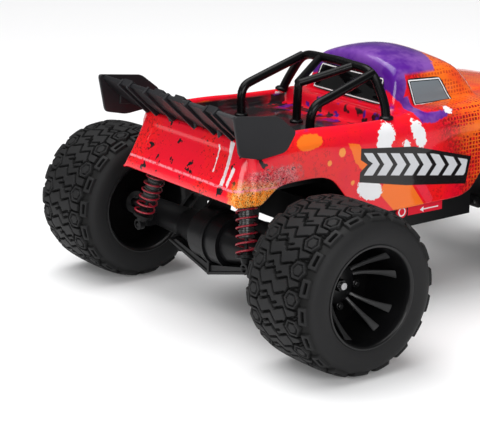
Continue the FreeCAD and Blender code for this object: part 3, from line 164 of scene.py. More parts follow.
# A straight solid: a flat outline pushed along the axis left out, with its rim narrowed by bevel at both faces
def prism(outline, axis, low, high, bevel=0.6):
    outline = np.asarray(outline, float)
    before, after = np.roll(outline, 1, 0) - outline, np.roll(outline, -1, 0) - outline
    before /= np.linalg.norm(before, axis=1)[:, None]
    after /= np.linalg.norm(after, axis=1)[:, None]
    cross = before[:, 0] * after[:, 1] - before[:, 1] * after[:, 0]
    bisect = (before + after) / np.maximum(np.abs(cross), 0.25)[:, None]
    area = np.sum(outline[:, 0] * np.roll(outline[:, 1], -1) - outline[:, 1] * np.roll(outline[:, 0], -1))
    inward = bisect * np.where(cross * np.sign(area) < 0, 1, -1)[:, None]
    small = outline + inward * bevel
    rings = [(small, low), (outline, low + bevel), (outline, high - bevel), (small, high)]
    points = np.concatenate([np.insert(ring, axis, level, axis=1) for ring, level in rings])
    count = len(outline)
    faces = gridFaces(4, count, wrapCols=True)
    faces += [list(range(count))[::-1], list(range(3 * count, 4 * count))]
    return points, faces


# Low-to-high ramp with flat ends: 0 below low, 1 above high, 3t^2 - 2t^3 between
def ramp(value, low, high):
    t = np.clip((value - low) / (high - low), 0, 1)
    return t * t * (3 - 2 * t)


# Distance from each (across, along) point to a broken line, the line repeating every pitch along
def lineDistance(across, along, pitch, line):
    best = np.full(across.shape, 1e9)
    for start, end in zip(line, line[1:]):
        dx, dy = end[0] - start[0], end[1] - start[1]
        for shift in (-2, -1, 0, 1, 2):
            px, py = across - start[0], along - start[1] - shift * pitch
            t = np.clip((px * dx + py * dy) / (dx * dx + dy * dy), 0, 1)
            best = np.minimum(best, np.hypot(px - t * dx, py - t * dy))
    return best


# ---- materials

# A small builder of shader maths: every method adds one node and hands back its output
class Net:
    def __init__(self, tree):
        self.tree = tree

    # A new node with its properties set and its inputs fed
    def add(self, kind, inputs=(), **settings):
        node = self.tree.nodes.new(kind)
        for key, value in settings.items():
            setattr(node, key, value)
        for key, value in dict(inputs).items():
            self.feed(node.inputs[key], value)
        return node

    # A link where value is an output, else a constant, with alpha 1 added to a plain colour
    def feed(self, socket, value):
        if isinstance(value, bpy.types.NodeSocket):
            self.tree.links.new(value, socket)
        elif socket.type == "RGBA" and len(value) == 3:
            socket.default_value = (*value, 1.0)
        else:
            socket.default_value = value

    # operation applied to first, second and third
    def math(self, operation, first, second=0.0, third=0.0):
        node = self.add("ShaderNodeMath", {0: first, 1: second, 2: third}, operation=operation)
        return node.outputs[0]

    # first + second
    def plus(self, first, second):
        return self.math("ADD", first, second)

    # first - second
    def minus(self, first, second):
        return self.math("SUBTRACT", first, second)

    # first * second
    def times(self, first, second):
        return self.math("MULTIPLY", first, second)

    # The smallest of the values
    def least(self, *values):
        out = values[0]
        for value in values[1:]:
            out = self.math("MINIMUM", out, value)
        return out

    # The largest of the values
    def most(self, *values):
        out = values[0]
        for value in values[1:]:
            out = self.math("MAXIMUM", out, value)
        return out

    # 0 below low, 1 above high, smooth between
    def ramp(self, value, low, high):
        node = self.add("ShaderNodeMapRange", {"Value": value, "From Min": low, "From Max": high},
                interpolation_type="SMOOTHSTEP")
        return node.outputs["Result"]

    # first * (1 - share) + second * share
    def mix(self, share, first, second):
        node = self.add("ShaderNodeMix", data_type="RGBA")
        self.feed(node.inputs[0], share)
        self.feed(node.inputs[6], first)
        self.feed(node.inputs[7], second)
        return node.outputs[2]

    # Fractal noise, 0 to 1, of place moved by offset
    def noise(self, place, scale, detail=3.0, rough=0.55, offset=(0, 0, 0)):
        moved = self.add("ShaderNodeVectorMath", {0: place, 1: offset}, operation="ADD").outputs[0]
        node = self.add("ShaderNodeTexNoise", {"Vector": moved, "Scale": scale, "Detail": detail,
                "Roughness": rough})
        return node.outputs[0]

    # How far inside a convex outline a point is: the least of its signed distances to the edges
    def inside(self, x, z, outline):
        area = sum(a[0] * b[1] - a[1] * b[0] for a, b in zip(outline, outline[1:] + outline[:1]))
        edges = []
        for a, b in zip(outline, outline[1:] + outline[:1]):
            length = math.hypot(b[0] - a[0], b[1] - a[1])
            sign = 1 if area > 0 else -1
            nx, nz = -(b[1] - a[1]) / length * sign, (b[0] - a[0]) / length * sign
            part = self.math("MULTIPLY_ADD", x, nx, -(a[0] * nx + a[1] * nz))
            edges.append(self.math("MULTIPLY_ADD", z, nz, part))
        return self.least(*edges)

    # How far inside a slanted ellipse a point is: radius less the scaled distance from its centre
    def blob(self, x, z, centre, reach, lean=0.0):
        dx = self.minus(x, centre[0])
        dz = self.minus(z, centre[1])
        dx = self.math("MULTIPLY_ADD", dz, -lean, dx)
        flat = self.times(dz, reach[0] / reach[1])
        far = self.math("SQRT", self.plus(self.times(dx, dx), self.times(flat, flat)))
        return self.minus(reach[0], far)


# A node tree holding one Principled shader, and a Net to add maths to it
def newMaterial(name, **constants):
    material = bpy.data.materials.new(name)
    material.use_nodes = True
    net = Net(material.node_tree)
    shader = next(n for n in material.node_tree.nodes if n.type == "BSDF_PRINCIPLED")
    for key, value in constants.items():
        shader.inputs[key.replace("_", " ")].default_value = value
    return material, net, shader


# Moulded surface: two noises shade the colour and the roughness, and a fine one gives the height
def surfaceGroup():
    tree = bpy.data.node_groups.new("mouldedSurface", "ShaderNodeTree")
    for socket, kind in (("Colour", "NodeSocketColor"), ("Roughness", "NodeSocketFloat"),
            ("Grain", "NodeSocketFloat"),
            ("Spread", "NodeSocketFloat")):
        tree.interface.new_socket(socket, in_out="INPUT", socket_type=kind)
    for socket, kind in (("Colour", "NodeSocketColor"), ("Roughness", "NodeSocketFloat"),
            ("Height", "NodeSocketFloat")):
        tree.interface.new_socket(socket, in_out="OUTPUT", socket_type=kind)
    net = Net(tree)
    inputs = tree.nodes.new("NodeGroupInput").outputs
    place = net.add("ShaderNodeTexCoord").outputs["Object"]
    broad = net.noise(place, 38.0, 4.0)
    fine = net.noise(place, inputs["Grain"], 2.0, 0.5, (3.1, 1.7, 0.4))
    shade = net.plus(1.0, net.times(net.minus(broad, 0.5), inputs["Spread"]))
    scaled = net.add("ShaderNodeVectorMath", {0: inputs["Colour"], "Scale": shade},
            operation="SCALE").outputs[0]
    rough = net.plus(inputs["Roughness"], net.times(net.minus(broad, 0.5), 0.25))
    ends = net.add("NodeGroupOutput").inputs
    net.feed(ends["Colour"], scaled)
    net.feed(ends["Roughness"], rough)
    net.feed(ends["Height"], fine)
    return tree


moulded = surfaceGroup()


# One plain finish: the moulded group sets colour, roughness and bump, everything else is a constant
def finish(name, colour, rough, grain, spread, bump, specular, metallic):
    material, net, shader = newMaterial(name, Specular_IOR_Level=specular, Metallic=metallic)
    group = net.add("ShaderNodeGroup", node_tree=moulded)
    for key, value in (("Colour", colour), ("Roughness", rough), ("Grain", grain), ("Spread", spread)):
        net.feed(group.inputs[key], value)
    net.feed(shader.inputs["Base Color"], group.outputs["Colour"])
    net.feed(shader.inputs["Roughness"], group.outputs["Roughness"])
    relief = net.add("ShaderNodeBump", {"Height": group.outputs["Height"], "Strength": bump,
            "Distance": 0.0004})
    net.feed(shader.inputs["Normal"], relief.outputs[0])
    return material


# Per finish: colour, roughness, grain, colour spread, bump, specular level, metallic
finishRows = {
    "tyre_rubber": ((0.0085, 0.0085, 0.009), 0.62, 1500.0, 0.35, 0.2, 0.2, 0.0),
    "rim_black": ((0.003, 0.003, 0.0034), 0.33, 700.0, 0.2, 0.05, 0.35, 0.0),
    # spoke: the rim's own black plastic made lighter, a painted sheen standing in for reflected light
    "spoke_painted_sheen": ((0.028, 0.028, 0.029), 0.45, 700.0, 0.2, 0.05, 0.5, 0.0),
    # void: near-black and almost without reflection, painted shade for the gaps behind the spokes
    "void_painted_shade": ((0.0015, 0.0015, 0.0016), 0.8, 700.0, 0.2, 0.05, 0.05, 0.0),
    "chassis_black": ((0.004, 0.004, 0.0044), 0.42, 1100.0, 0.3, 0.14, 0.18, 0.0),
    "axle_black": ((0.005, 0.005, 0.0056), 0.36, 1000.0, 0.4, 0.14, 0.2, 0.0),
    "battery_blue": ((0.02, 0.09, 0.35), 0.3, 900.0, 0.3, 0.12, 0.5, 0.0),
    "receiver_grey": ((0.12, 0.12, 0.13), 0.5, 900.0, 0.3, 0.12, 0.5, 0.0),
    "servo_black": ((0.02, 0.02, 0.022), 0.45, 900.0, 0.3, 0.12, 0.5, 0.0),
    "pin_steel": ((0.42, 0.42, 0.43), 0.3, 2000.0, 0.2, 0.05, 0.5, 1.0),
    "cage_black": ((0.002, 0.002, 0.0024), 0.28, 1300.0, 0.25, 0.08, 0.16, 0.0),
    "wing_black": ((0.010, 0.010, 0.012), 0.42, 1300.0, 0.3, 0.1, 0.3, 0.0),
    "motor_can": ((0.3, 0.3, 0.31), 0.32, 1800.0, 0.2, 0.05, 0.5, 1.0),
    "gear_white": ((0.72, 0.71, 0.68), 0.45, 900.0, 0.3, 0.12, 0.5, 0.0),
    "pinion_brass": ((0.6, 0.42, 0.16), 0.3, 1800.0, 0.2, 0.05, 0.5, 1.0),
    "spring_red": ((0.26, 0.006, 0.018), 0.3, 1200.0, 0.3, 0.05, 0.5, 0.0),
    "damper_grey": ((0.03, 0.028, 0.028), 0.3, 1200.0, 0.3, 0.08, 0.35, 0.0),
}
finishes = {name: finish(name, *row) for name, row in finishRows.items()}
print("finishes made")


# Paint of the shell: a red ground with flame-coloured mesh, purple bands, spatter and stripes laid over it by place
def shellPaint():
    material, net, shader = newMaterial("shellPaint", Coat_Weight=0.5, Coat_Roughness=0.05,
            Specular_IOR_Level=0.15)
    fade, mix, plus, minus, times = net.ramp, net.mix, net.plus, net.minus, net.times
    most, least, noise, inside, blob = net.most, net.least, net.noise, net.inside, net.blob
    place = net.add("ShaderNodeTexCoord").outputs["Object"]
    axes = net.add("ShaderNodeSeparateXYZ", {0: place}).outputs
    x, y, z = [times(axes[k], 1000) for k in range(3)]
    wide = net.math("ABSOLUTE", y)
    grit = noise(place, 420, 5, 0.7)
    fine = noise(place, 1100, 3, 0.6, (0.7, 0.2, 0.5))
    cloud = noise(place, 26, 4, 0.6, (0.3, 0.9, 0.1))
    wobble = times(minus(noise(place, 150, 5, 0.72, (1.3, 0.4, 0.2)), 0.5), 22)
    broken = times(minus(noise(place, 330, 4, 0.7, (2.3, 1.4, 0.9)), 0.5), 9)

    # 0 to 1 over low to high of value, its edge made ragged by the broken noise
    def torn(value, share, low, high):
        return fade(plus(value, times(broken, share)), low, high)

    side = fade(wide, 58, 63)
    high = fade(z, 150.5, 153)
    tail = fade(x, -128, -136)

    red = (0.80, 0.004, 0.022)
    brightRed = (0.86, 0.010, 0.012)
    pink = (0.83, 0.05, 0.09)
    purple = (0.085, 0.010, 0.25)
    violet = (0.20, 0.07, 0.36)
    orange = (0.92, 0.17, 0.012)
    flame = (0.86, 0.065, 0.012)
    white = (0.82, 0.82, 0.84)
    black = (0.010, 0.008, 0.009)

    colour = mix(fade(cloud, 0.42, 0.68), red, brightRed)

    # The colour so far with tint laid over it by share
    def lay(share, tint):
        nonlocal colour
        colour = mix(share, colour, tint)

    # black dust in patches, thicker on the tail
    dust = times(fade(plus(grit, times(cloud, 0.45)), 0.80, 0.90), 0.85)
    lay(times(dust, plus(0.35, times(tail, 0.5))), black)

    # tail: bold black spatter on the upper half and an amber patch at the right lower corner
    spat = fade(plus(noise(place, 95, 3, 0.55, (4.1, 2.2, 0.7)), times(grit, 0.16)), 0.705, 0.735)
    lay(times(spat, tail), black)
    cornerY = fade(minus(times(wobble, 0.6), y), 60, 67)
    cornerZ = fade(plus(z, times(wobble, 0.6)), 125, 116)
    amber = times(times(cornerY, cornerZ), fade(x, -134, -140))
    mottled = mix(fade(grit, 0.45, 0.6), (0.92, 0.25, 0.02), (0.85, 0.42, 0.10))
    lay(times(amber, 0.95), mottled)
    ashZ = times(fade(plus(z, wobble), 113, 119), fade(plus(z, wobble), 133, 126))
    ash = times(times(ashZ, fade(wide, 66, 71)), fade(plus(x, wobble), -112, -126))
    lay(times(ash, 0.4), mix(fade(grit, 0.4, 0.6), (0.34, 0.12, 0.14), (0.62, 0.50, 0.50)))
    lay(times(most(amber, ash), fade(fine, 0.56, 0.60)), black)
    strokes = most(inside(y, z, [(-46, 147.5), (-51.5, 147.5), (-53.5, 117.5), (-49, 117.5)]),
            inside(y, z, [(-33.6, 143), (-35.4, 143), (-36.4, 124), (-35, 124)]),
            inside(y, z, [(-60.5, 131), (-57, 132), (-55.5, 119.5), (-58.5, 117)]))
    strokeShare = times(torn(strokes, 0.35, -0.1, 0.5), tail)
    lay(times(strokeShare, 0.85), white)

    # flank: flame-coloured mesh over the front of the door, hood and roof, fading backwards
    cells = net.add("ShaderNodeTexVoronoi", {"Vector": place, "Scale": 330, "Randomness": 0.22},
            feature="DISTANCE_TO_EDGE").outputs["Distance"]
    web = fade(cells, 0.20, 0.11)
    ahead = plus(x, plus(wobble, times(minus(z, 130), 0.35)))
    sootShare = times(fade(ahead, 8, 34), fade(grit, 0.60, 0.45))
    lay(times(sootShare, 0.8), (0.09, 0.006, 0.008))
    hot = fade(ahead, 22, 58)
    webColour = mix(fade(cloud, 0.40, 0.62), flame, orange)
    lay(times(hot, most(web, fade(ahead, 66, 120))), webColour)
    roofFront = times(high, fade(plus(x, times(wide, 0.25)), 24, 44))
    lay(times(roofFront, 0.75), webColour)
    lay(times(roofFront, times(fade(cells, 0.16, 0.26), 0.55)), (0.50, 0.03, 0.01))

    # cab: purple over the back of the roof, down the rear pillar and forward under the side window
    roofBand = inside(x, wide, [(-15, 60), (30, 60), (45, 18), (30, -5), (-15, -5)])
    roofBand = times(fade(plus(roofBand, broken), 0, 1.5), fade(z, 174, 177))
    pillar = inside(x, z, [(-16, 185), (13, 185), (5, 168), (5, 156), (-3, 154), (-9, 160)])
    flow = most(inside(x, z, [(-4, 160), (5, 160), (8.5, 149), (2, 142), (-2, 148)]),
            inside(x, z, [(4, 150.2), (36, 149.6), (30, 146), (14, 141.5), (2, 142.5)]))
    pillarShare = fade(plus(most(pillar, flow), times(broken, 0.4)), 0, 1.2)
    lay(times(most(roofBand, pillarShare), fade(z, 140, 143)), mix(fade(cloud, 0.45, 0.62), purple, violet))
    rearPatch = times(times(fade(cloud, 0.50, 0.56), fade(x, -2, -8)), high)
    lay(times(rearPatch, 0.8), purple)

    # flank: orange stripes, white splashes and drips
    stripe = inside(x, z, [(-72, 139), (-61, 137), (-51, 117), (-57, 114), (-66, 124)])
    lay(times(torn(stripe, 0.3, 0, 0.8), side), orange)
    spot = blob(x, z, (-107, 144.5), (12, 5.5), 0.3)
    lay(times(torn(spot, 0.8, -0.3, 0.8), side), orange)
    dots = most(blob(x, z, (-78, 133), (3.4, 3.4)), blob(x, z, (-90, 127), (2.2, 2.2)),
            blob(x, z, (-68, 109), (1.8, 1.8)))
    lay(times(torn(dots, 0.3, -0.3, 0.6), side), (0.92, 0.30, 0.05))
    plank = inside(x, z, [(-43, 97), (-25, 78), (5, 78), (-14, 104), (-38, 104)])
    lay(times(fade(plank, 0, 0.6), side), orange)
    plank = inside(x, z, [(-12, 104), (7, 78), (12, 84), (-1, 104)])
    lay(times(fade(plank, 0, 0.6), times(side, 0.55)), pink)
    splash = most(blob(x, z, (-35, 137.5), (8.5, 10.5), 0.25), blob(x, z, (-3, 136), (6, 11), -0.3),
            blob(x, z, (-16, 129), (3.2, 5)), blob(x, z, (-51.5, 101), (11.5, 8.5), -0.5),
            blob(x, z, (30, 148.6), (3.2, 2.6)))
    splashShare = times(fade(plus(splash, broken), -0.3, 0.5), fade(z, 151.8, 150.8))
    lay(times(splashShare, side), white)
    specks = times(fade(fine, 0.735, 0.76), fade(plus(splash, 14), 0, 10))
    lay(times(specks, side), white)

    # flank: a bare dark banner with plain slanted bars
    banner = inside(x, z, [(-60, 133.5), (-8, 127.5), (50, 111.5), (45, 90), (-16, 98.5), (-62, 108)])
    notch = inside(x, z, [(-70, 131), (-54.5, 120.5), (-70, 110)])
    bannerIn = least(banner, times(notch, -1))
    lay(times(fade(bannerIn, 0, 0.5), side), black)
    middle = net.math("ABSOLUTE", plus(minus(z, 112.3), times(x, 0.155)))
    bars = net.math("PINGPONG", plus(net.math("MULTIPLY_ADD", middle, 0.8, x), 404), 6.5)
    barShare = times(fade(bars, 2, 2.4), fade(least(bannerIn, minus(11.6, middle)), 3, 3.4))
    lay(times(barShare, side), (0.62, 0.63, 0.66))

    # bed: dark textured floor and inner walls, a grid of grey dots fading out towards the front
    within = inside(x, wide, [(-153, -5), (-19.5, -5), (-19.5, 61.6), (-153, 61.6)])
    bedShare = times(fade(within, 0, 0.4), fade(z, 151, 149))
    plaid = mix(fade(noise(place, 60, 2, 0.5, (0.2, 0.7, 0.3)), 0.5, 0.56), black, (0.05, 0.006, 0.01))
    front = fade(x, -52, -30)
    plaid = mix(times(front, fade(noise(place, 70, 2, 0.5, (0.8, 0.1, 0.3)), 0.46, 0.5)), plaid, red)
    plaid = mix(times(front, fade(noise(place, 90, 2, 0.5, (0.1, 0.8, 0.6)), 0.56, 0.6)), plaid, purple)
    check = times(net.math("PINGPONG", plus(x, 400), 2), net.math("PINGPONG", plus(wide, 400), 2))
    plaid = mix(times(fade(check, 2.1, 2.9), times(0.5, minus(1, front))), plaid,
            (0.05, 0.05, 0.055))
    lay(bedShare, plaid)

    # a painted highlight: a pale pink line along the tail's fold, broken up by noise
    foldHighlight = times(fade(net.math("ABSOLUTE", minus(z, plus(116.8, times(broken, 0.12)))), 1.3, 0.3), tail)
    lay(times(foldHighlight, fade(grit, 0.40, 0.52)), (0.86, 0.25, 0.30))

    net.feed(shader.inputs["Base Color"], colour)
    net.feed(shader.inputs["Roughness"], plus(0.2, times(bedShare, 0.25)))
    return material


paint = shellPaint()

# ---- shell: a lattice of control points, rows along the car and columns from the sill to the middle, then refined

shellSizes = dict(detail=2, wall=1.1)


# Rows of the right half: each row is the x of its points and (y, z) pairs from the lower edge to the middle line
def shellRows():
    rows = []

    # One row at x: pairs with the first lowered to low, the middle bowed forward by bow, each moved by dx
    def row(x, low, pairs, bow=0, dx=None):
        pairs = [(pairs[0][0], low)] + pairs[1:]
        shift = dx or [0] * len(pairs)
        rows.append([(x + bow * (1 - (p[0] / 60) ** 2) * (p[0] < 60) + s, p[0], p[1]) for p,
                s in zip(pairs, shift)])

    # Section of the open bed: flank from low up to rail, over it and down to the bed floor
    def bed(low, rail, top=0, belly=75):
        return [(belly, low), (belly, low + 4), (belly, (low + rail) / 2 + 6), (belly - 2.2, rail - 7.5),
                (belly - 5.5, rail - 3.2), (66.8, rail - 0.4), (64, rail), (62, rail - 0.6),
                (61.2, rail - 3.5),
                (60.4, 141.5 + top), (59, 139.3 + top), (55, 139 + top), (38, 139 + top), (20, 139 + top),
                (0, 139 + top)]

    # Section of the ledge: flank as the bed, level across
    def flat(low, rail, level, belly=75):
        pairs = bed(low, rail, 0, belly)
        return pairs[:7] + [(62, level + 0.2), (60.5, level), (58, level), (55, level), (50, level),
                (38, level),
                (20, level), (0, level)]

    # Section of the cab: flank, shoulder, then side and roof raised by share of their full height
    def cab(low, rail, share, roof, edge, belly=75, half=45.5):
        pairs = bed(low, rail, 0, belly)
        base = rail + 1
        lift = lambda z: base + (z - base) * share
        return pairs[:6] + [(63, rail + 0.6), (57, base), (52.6, base + 0.8), (51.6, lift(base + 5)),
                (half + 3.6, lift(base + (edge - base) * 0.6)), (half + 1, lift(edge - 4)),
                (half - 2.8, lift(edge + 1)), (22, lift(edge + (roof - edge) * 0.75)), (0, lift(roof))]

    # Section of the hood: flank, shoulder, then a raised middle at top
    def hood(low, rail, top, belly=75, half=40):
        pairs = bed(low, rail, 0, belly)
        return pairs[:6] + [(62, rail + 0.4), (56, rail + 0.6), (half + 8, rail + 1),
                (half + 4, rail + 1.4),
                (half, top - 2), (half - 3, top - 0.4), (28, top), (14, top + 0.8), (0, top + 1)]

    # tail: lip, fold, recessed panel, top edge, inner wall
    spread = [1, 0.995, 0.985, 0.97, 0.95, 0.925, 0.9, 0.86, 0.82, 0.80, 0.775, 0.75, 0.5, 0.25, 0]
    for x, z, half, edge, inset in ((-170.6, 106.6, 68, 106, 0), (-172, 107.2, 69, 106, 0),
            (-172, 110, 69, 106.2, 0), (-170.6, 115.6, 68.4, 106.2, 0),
            (-169.6, 117.6, 67.6, 106.2, 0), (-167.8, 121.6, 67.2, 106, 0),
            (-166.9, 123.6, 67, 105.8, 1.5), (-163, 132.6, 66, 105.6, 1.5),
            (-159.9, 140, 65, 105.4, 1.5), (-159.2, 141.8, 64.8, 105.3, 0),
            (-157.6, 146, 64.4, 105.2, 0), (-156.8, 148.4, 63.8, 105.2, 0)):
        pairs = []
        for k, s in enumerate(spread):
            drop = [1, 0.8, 0.45, 0.16, 0.05, 0, 0, 0, 0, 0, 0, 0, 0, 0, 0][k]
            reach = half + (72.5 - half) * min(1, drop * 1.15)
            pairs.append((reach * (s if k > 5 else 1 - (1 - s) * 0.6), z - (z - edge) * drop))
        dx = [0] * 10 + [0, inset, inset, inset, inset]
        row(x, edge, pairs, 0, dx)
    for x, level, rail, inner in ((-154.8, 149.6, 149.9, 0), (-153.4, 149.4, 150.6, 0),
            (-152.4, 146, 151, 0),
            (-151.8, 141.5, 151.2, 1), (-150.6, 139.4, 151.4, 1)):
        base = bed(105, rail, 0, 73)
        row(x, 105, base[:8] + [(y, max(level, zz) if k < 1 else level) for k,
                (y, zz) in enumerate(base[8:])])
    # bed sides over the rear wheels
    for x, low, rail, belly in ((-148, 107, 151.6, 73.6), (-142, 112.2, 152.2, 74.2),
            (-136, 117, 152.5, 74.6),
            (-128, 118.2, 152.6, 75), (-112, 118.4, 152.6, 75), (-98, 118, 152.3, 75),
            (-90, 115.6, 151.9, 75), (-84, 111.8, 151.5, 75), (-77, 102.6, 151, 75),
            (-68, 92.6, 150.6, 75), (-58, 86.4, 150.2, 75), (-44, 82.6, 149.8, 75),
            (-32, 81.4, 149.5, 75), (-27.5, 81.2, 149.3, 75)):
        row(x, low, bed(low, rail, 0, belly))
    # front wall of the bed, ledge, back wall of the cab
    row(-25.6, 81.1, bed(81.1, 149.3, 1))
    row(-24.6, 81.1, flat(81.1, 149.3, 148.4))
    row(-23.6, 81.1, flat(81.1, 149.3, 150.4))
    row(-17.5, 81, flat(81, 149.4, 150.9))
    row(-14.2, 81, cab(81, 149.5, 0.02, 185.6, 179))
    row(-13, 81, cab(81, 149.6, 0.10, 185.6, 179))
    row(-9.4, 81, cab(81, 149.8, 0.50, 185.8, 179))
    row(-5.6, 81, cab(81, 149.9, 0.90, 186.2, 179.2))
    row(-3.6, 81, cab(81, 150, 0.985, 187.4, 179.6))
    row(1.5, 81, cab(81, 150.1, 1, 189.4, 180.4))
    row(12, 81, cab(81, 150.4, 1, 191.4, 181))
    row(28, 81, cab(81, 150.8, 1, 191, 180.6, half=46.5))
    row(39, 81.2, cab(81.2, 151, 1, 188.4, 179.6, half=47))
    row(49, 84, cab(84, 151.2, 1, 184.6, 178, half=47))
    row(56, 92, cab(92, 151.2, 0.95, 181.2, 176.6, half=46.4), 4)
    row(60.5, 98, cab(98, 151.2, 0.80, 178.6, 174.4, half=45.6), 8)
    row(66, 104, cab(104, 151.2, 0.46, 178, 173, half=45), 12)
    row(70.5, 108, cab(108, 151, 0.18, 178, 173, half=44), 14)
    # hood and front wings, then the nose
    for x, low, rail, top, belly in ((76, 112, 151, 153.6, 75), (88, 117, 150.6, 154.2, 75),
            (104, 118.4, 149.4, 154.2, 75), (124, 118.6, 147.4, 152.6, 75),
            (142, 118, 144.6, 150, 75), (152, 115, 142.4, 147.6, 74.6),
            (160, 108, 139.4, 144.2, 73.6), (168, 101, 134.6, 139.4, 71.6),
            (173, 98, 129.6, 133.8, 69), (176.4, 97.4, 124.6, 128.4, 66),
            (178.6, 97, 117, 120.4, 63), (179.6, 96.8, 108, 110, 61)):
        row(x, low, hood(low, rail, top, belly, min(40, belly - 28)))
    return np.array(rows)


# The rows mirrored to the left, then refined both ways
def shellGrid(detail):
    half = shellRows()
    whole = np.concatenate([half * (1, -1, 1), half[:, -2::-1]], 1)
    return refine(refine(whole, 0, detail), 1, detail)


grid = shellGrid(shellSizes["detail"])
shell = makePiece("paintedShell", (grid.reshape(-1, 3), gridFaces(*grid.shape[:2])), "shell",
        paint,
        ["body_shell"], 50)
wall = shell.modifiers.new("wall", "SOLIDIFY")
wall.thickness = shellSizes["wall"] * mm
wall.offset = -1
print("shell built")

# ---- windows: flat panes laid just outside the shell, each with a black edge and a white line

glassSizes = dict(lift=0.45, step=22)


# Height of the shell's outside above a plane: the mean of the four nearest lattice points, nearer ones counting more
def onShell(first, second, axes, keep):
    points = grid.reshape(-1, 3)
    points = points[keep(points)]
    flat, out = points[:, axes[:2]], points[:, axes[2]]
    want = np.stack([first.ravel(), second.ravel()], 1)
    far = np.linalg.norm(want[:, None] - flat[None], axis=2)
    near = np.argsort(far, axis=1)[:, :5]
    weight = 1 / (np.take_along_axis(far, near, 1) ** 2 + 0.3)
    return ((out[near] * weight).sum(1) / weight.sum(1)).reshape(first.shape)


# A pane over a four-cornered outline with rounded corners, bowed with the shell; edge holds the distance to its rim
def paneGrid(corners, axes, keep, lift, squareness=9):
    t = np.linspace(-1, 1, glassSizes["step"])
    u, v = np.meshgrid(np.sin(t * math.pi / 2), np.sin(t * math.pi / 2), indexing="ij")
    away = (np.abs(u) ** squareness + np.abs(v) ** squareness) ** (1 / squareness)
    biggest = np.maximum(np.abs(u), np.abs(v))
    shrink = np.where(away > 0, biggest / np.maximum(away, 1e-9), 1)
    u, v = u * shrink, v * shrink
    a, b, c, d = [np.asarray(p, float) for p in corners]
    s, r = ((u + 1) / 2)[..., None], ((v + 1) / 2)[..., None]
    flat = a * (1 - s) * (1 - r) + b * s * (1 - r) + c * s * r + d * (1 - s) * r
    height = onShell(flat[..., 0], flat[..., 1], axes, keep)
    points = np.zeros(flat.shape[:2] + (3,))
    points[..., axes[0]], points[..., axes[1]], points[..., axes[2]] = flat[..., 0], flat[...,
            1], height + lift
    edges = []
    for p, q in ((a, b), (b, c), (c, d), (d, a)):
        way = (q - p) / np.linalg.norm(q - p)
        edges.append(np.abs((flat[..., 0] - p[0]) * way[1] - (flat[..., 1] - p[1]) * way[0]))
    return points, np.min(edges, axis=0)


# Glass finish: dark tint with a white line between two black borders by the stored distance to the rim
def glassPaint(name, tint):
    material, net, shader = newMaterial(name, Roughness=0.06, Coat_Weight=0.6, Coat_Roughness=0.03,
            Specular_IOR_Level=0.25)
    rim = net.add("ShaderNodeAttribute", attribute_name="rim").outputs["Fac"]
    line = net.times(net.ramp(rim, 0.95, 1.15), net.ramp(rim, 2, 1.8))
    colour = net.mix(net.ramp(rim, 2.4, 2.8), (0.012, 0.012, 0.012), tint)
    net.feed(shader.inputs["Base Color"], net.mix(line, colour, (0.85, 0.85, 0.86)))
    return material


sidePaint, darkPaint = glassPaint("sideGlass", (0.17, 0.20, 0.22)), glassPaint("rearGlass",
        (0.003, 0.003, 0.0035))
paneParts = {"sideWindows": [], "endWindows": []}
for name, sign in sides.items():
    paneParts["sideWindows"].append(paneGrid([(9, 151), (48.5, 150.6), (37, 171), (5, 172.5)], (0, 2, 1),
            lambda p, s=sign: (p[:, 1] * s > 36) & (p[:, 1] * s < 54.5) & (p[:, 2] > 152.3),
            sign * glassSizes["lift"]))
paneParts["endWindows"].append(paneGrid([(-42, 153), (42, 153), (37.5, 173.5), (-37.5, 173.5)], (1, 2, 0),
        lambda p: (p[:, 0] < -2) & (p[:, 0] > -15) & (p[:, 2] > 151.5), -glassSizes["lift"]))
paneParts["endWindows"].append(paneGrid([(-43, 158), (43, 158), (40, 176), (-40, 176)], (1, 2, 0),
        lambda p: (p[:, 0] > 54) & (p[:, 0] < 88) & (p[:, 2] > 153) & (np.abs(p[:, 1]) < 46),
        glassSizes["lift"]))
for name, made in paneParts.items():
    joined = merged([(points.reshape(-1, 3), gridFaces(*points.shape[:2])) for points, _ in made])
    makePiece(name, joined, "shell", sidePaint if name == "sideWindows" else darkPaint,
            ["window_panels"], 60,
              {"rim": np.concatenate([rim.ravel() for _, rim in made])})
print("windows built")

# ---- tyres: a rounded section carried round the wheel, raised by a tread pattern that repeats every pitch

tyreSizes = dict(pitches=18, cell=44, outer=wheelHeight, centre=wheelMiddle, depth=2.6, halfWidth=36.85,
        section=[(-35.2, 37.3), (-36.3, 40.2), (-36.8, 44.5), (-36.4, 49), (-34.6, 52.6), (-31.2, 55),
        (-26, 56.3), (-16, 57.1), (0, 57.35), (16, 57.1), (26, 56.3), (31.2, 55),
        (34.6, 52.6), (36.4, 49), (36.8, 44.5), (36.3, 40.2), (35.2, 37.3)])


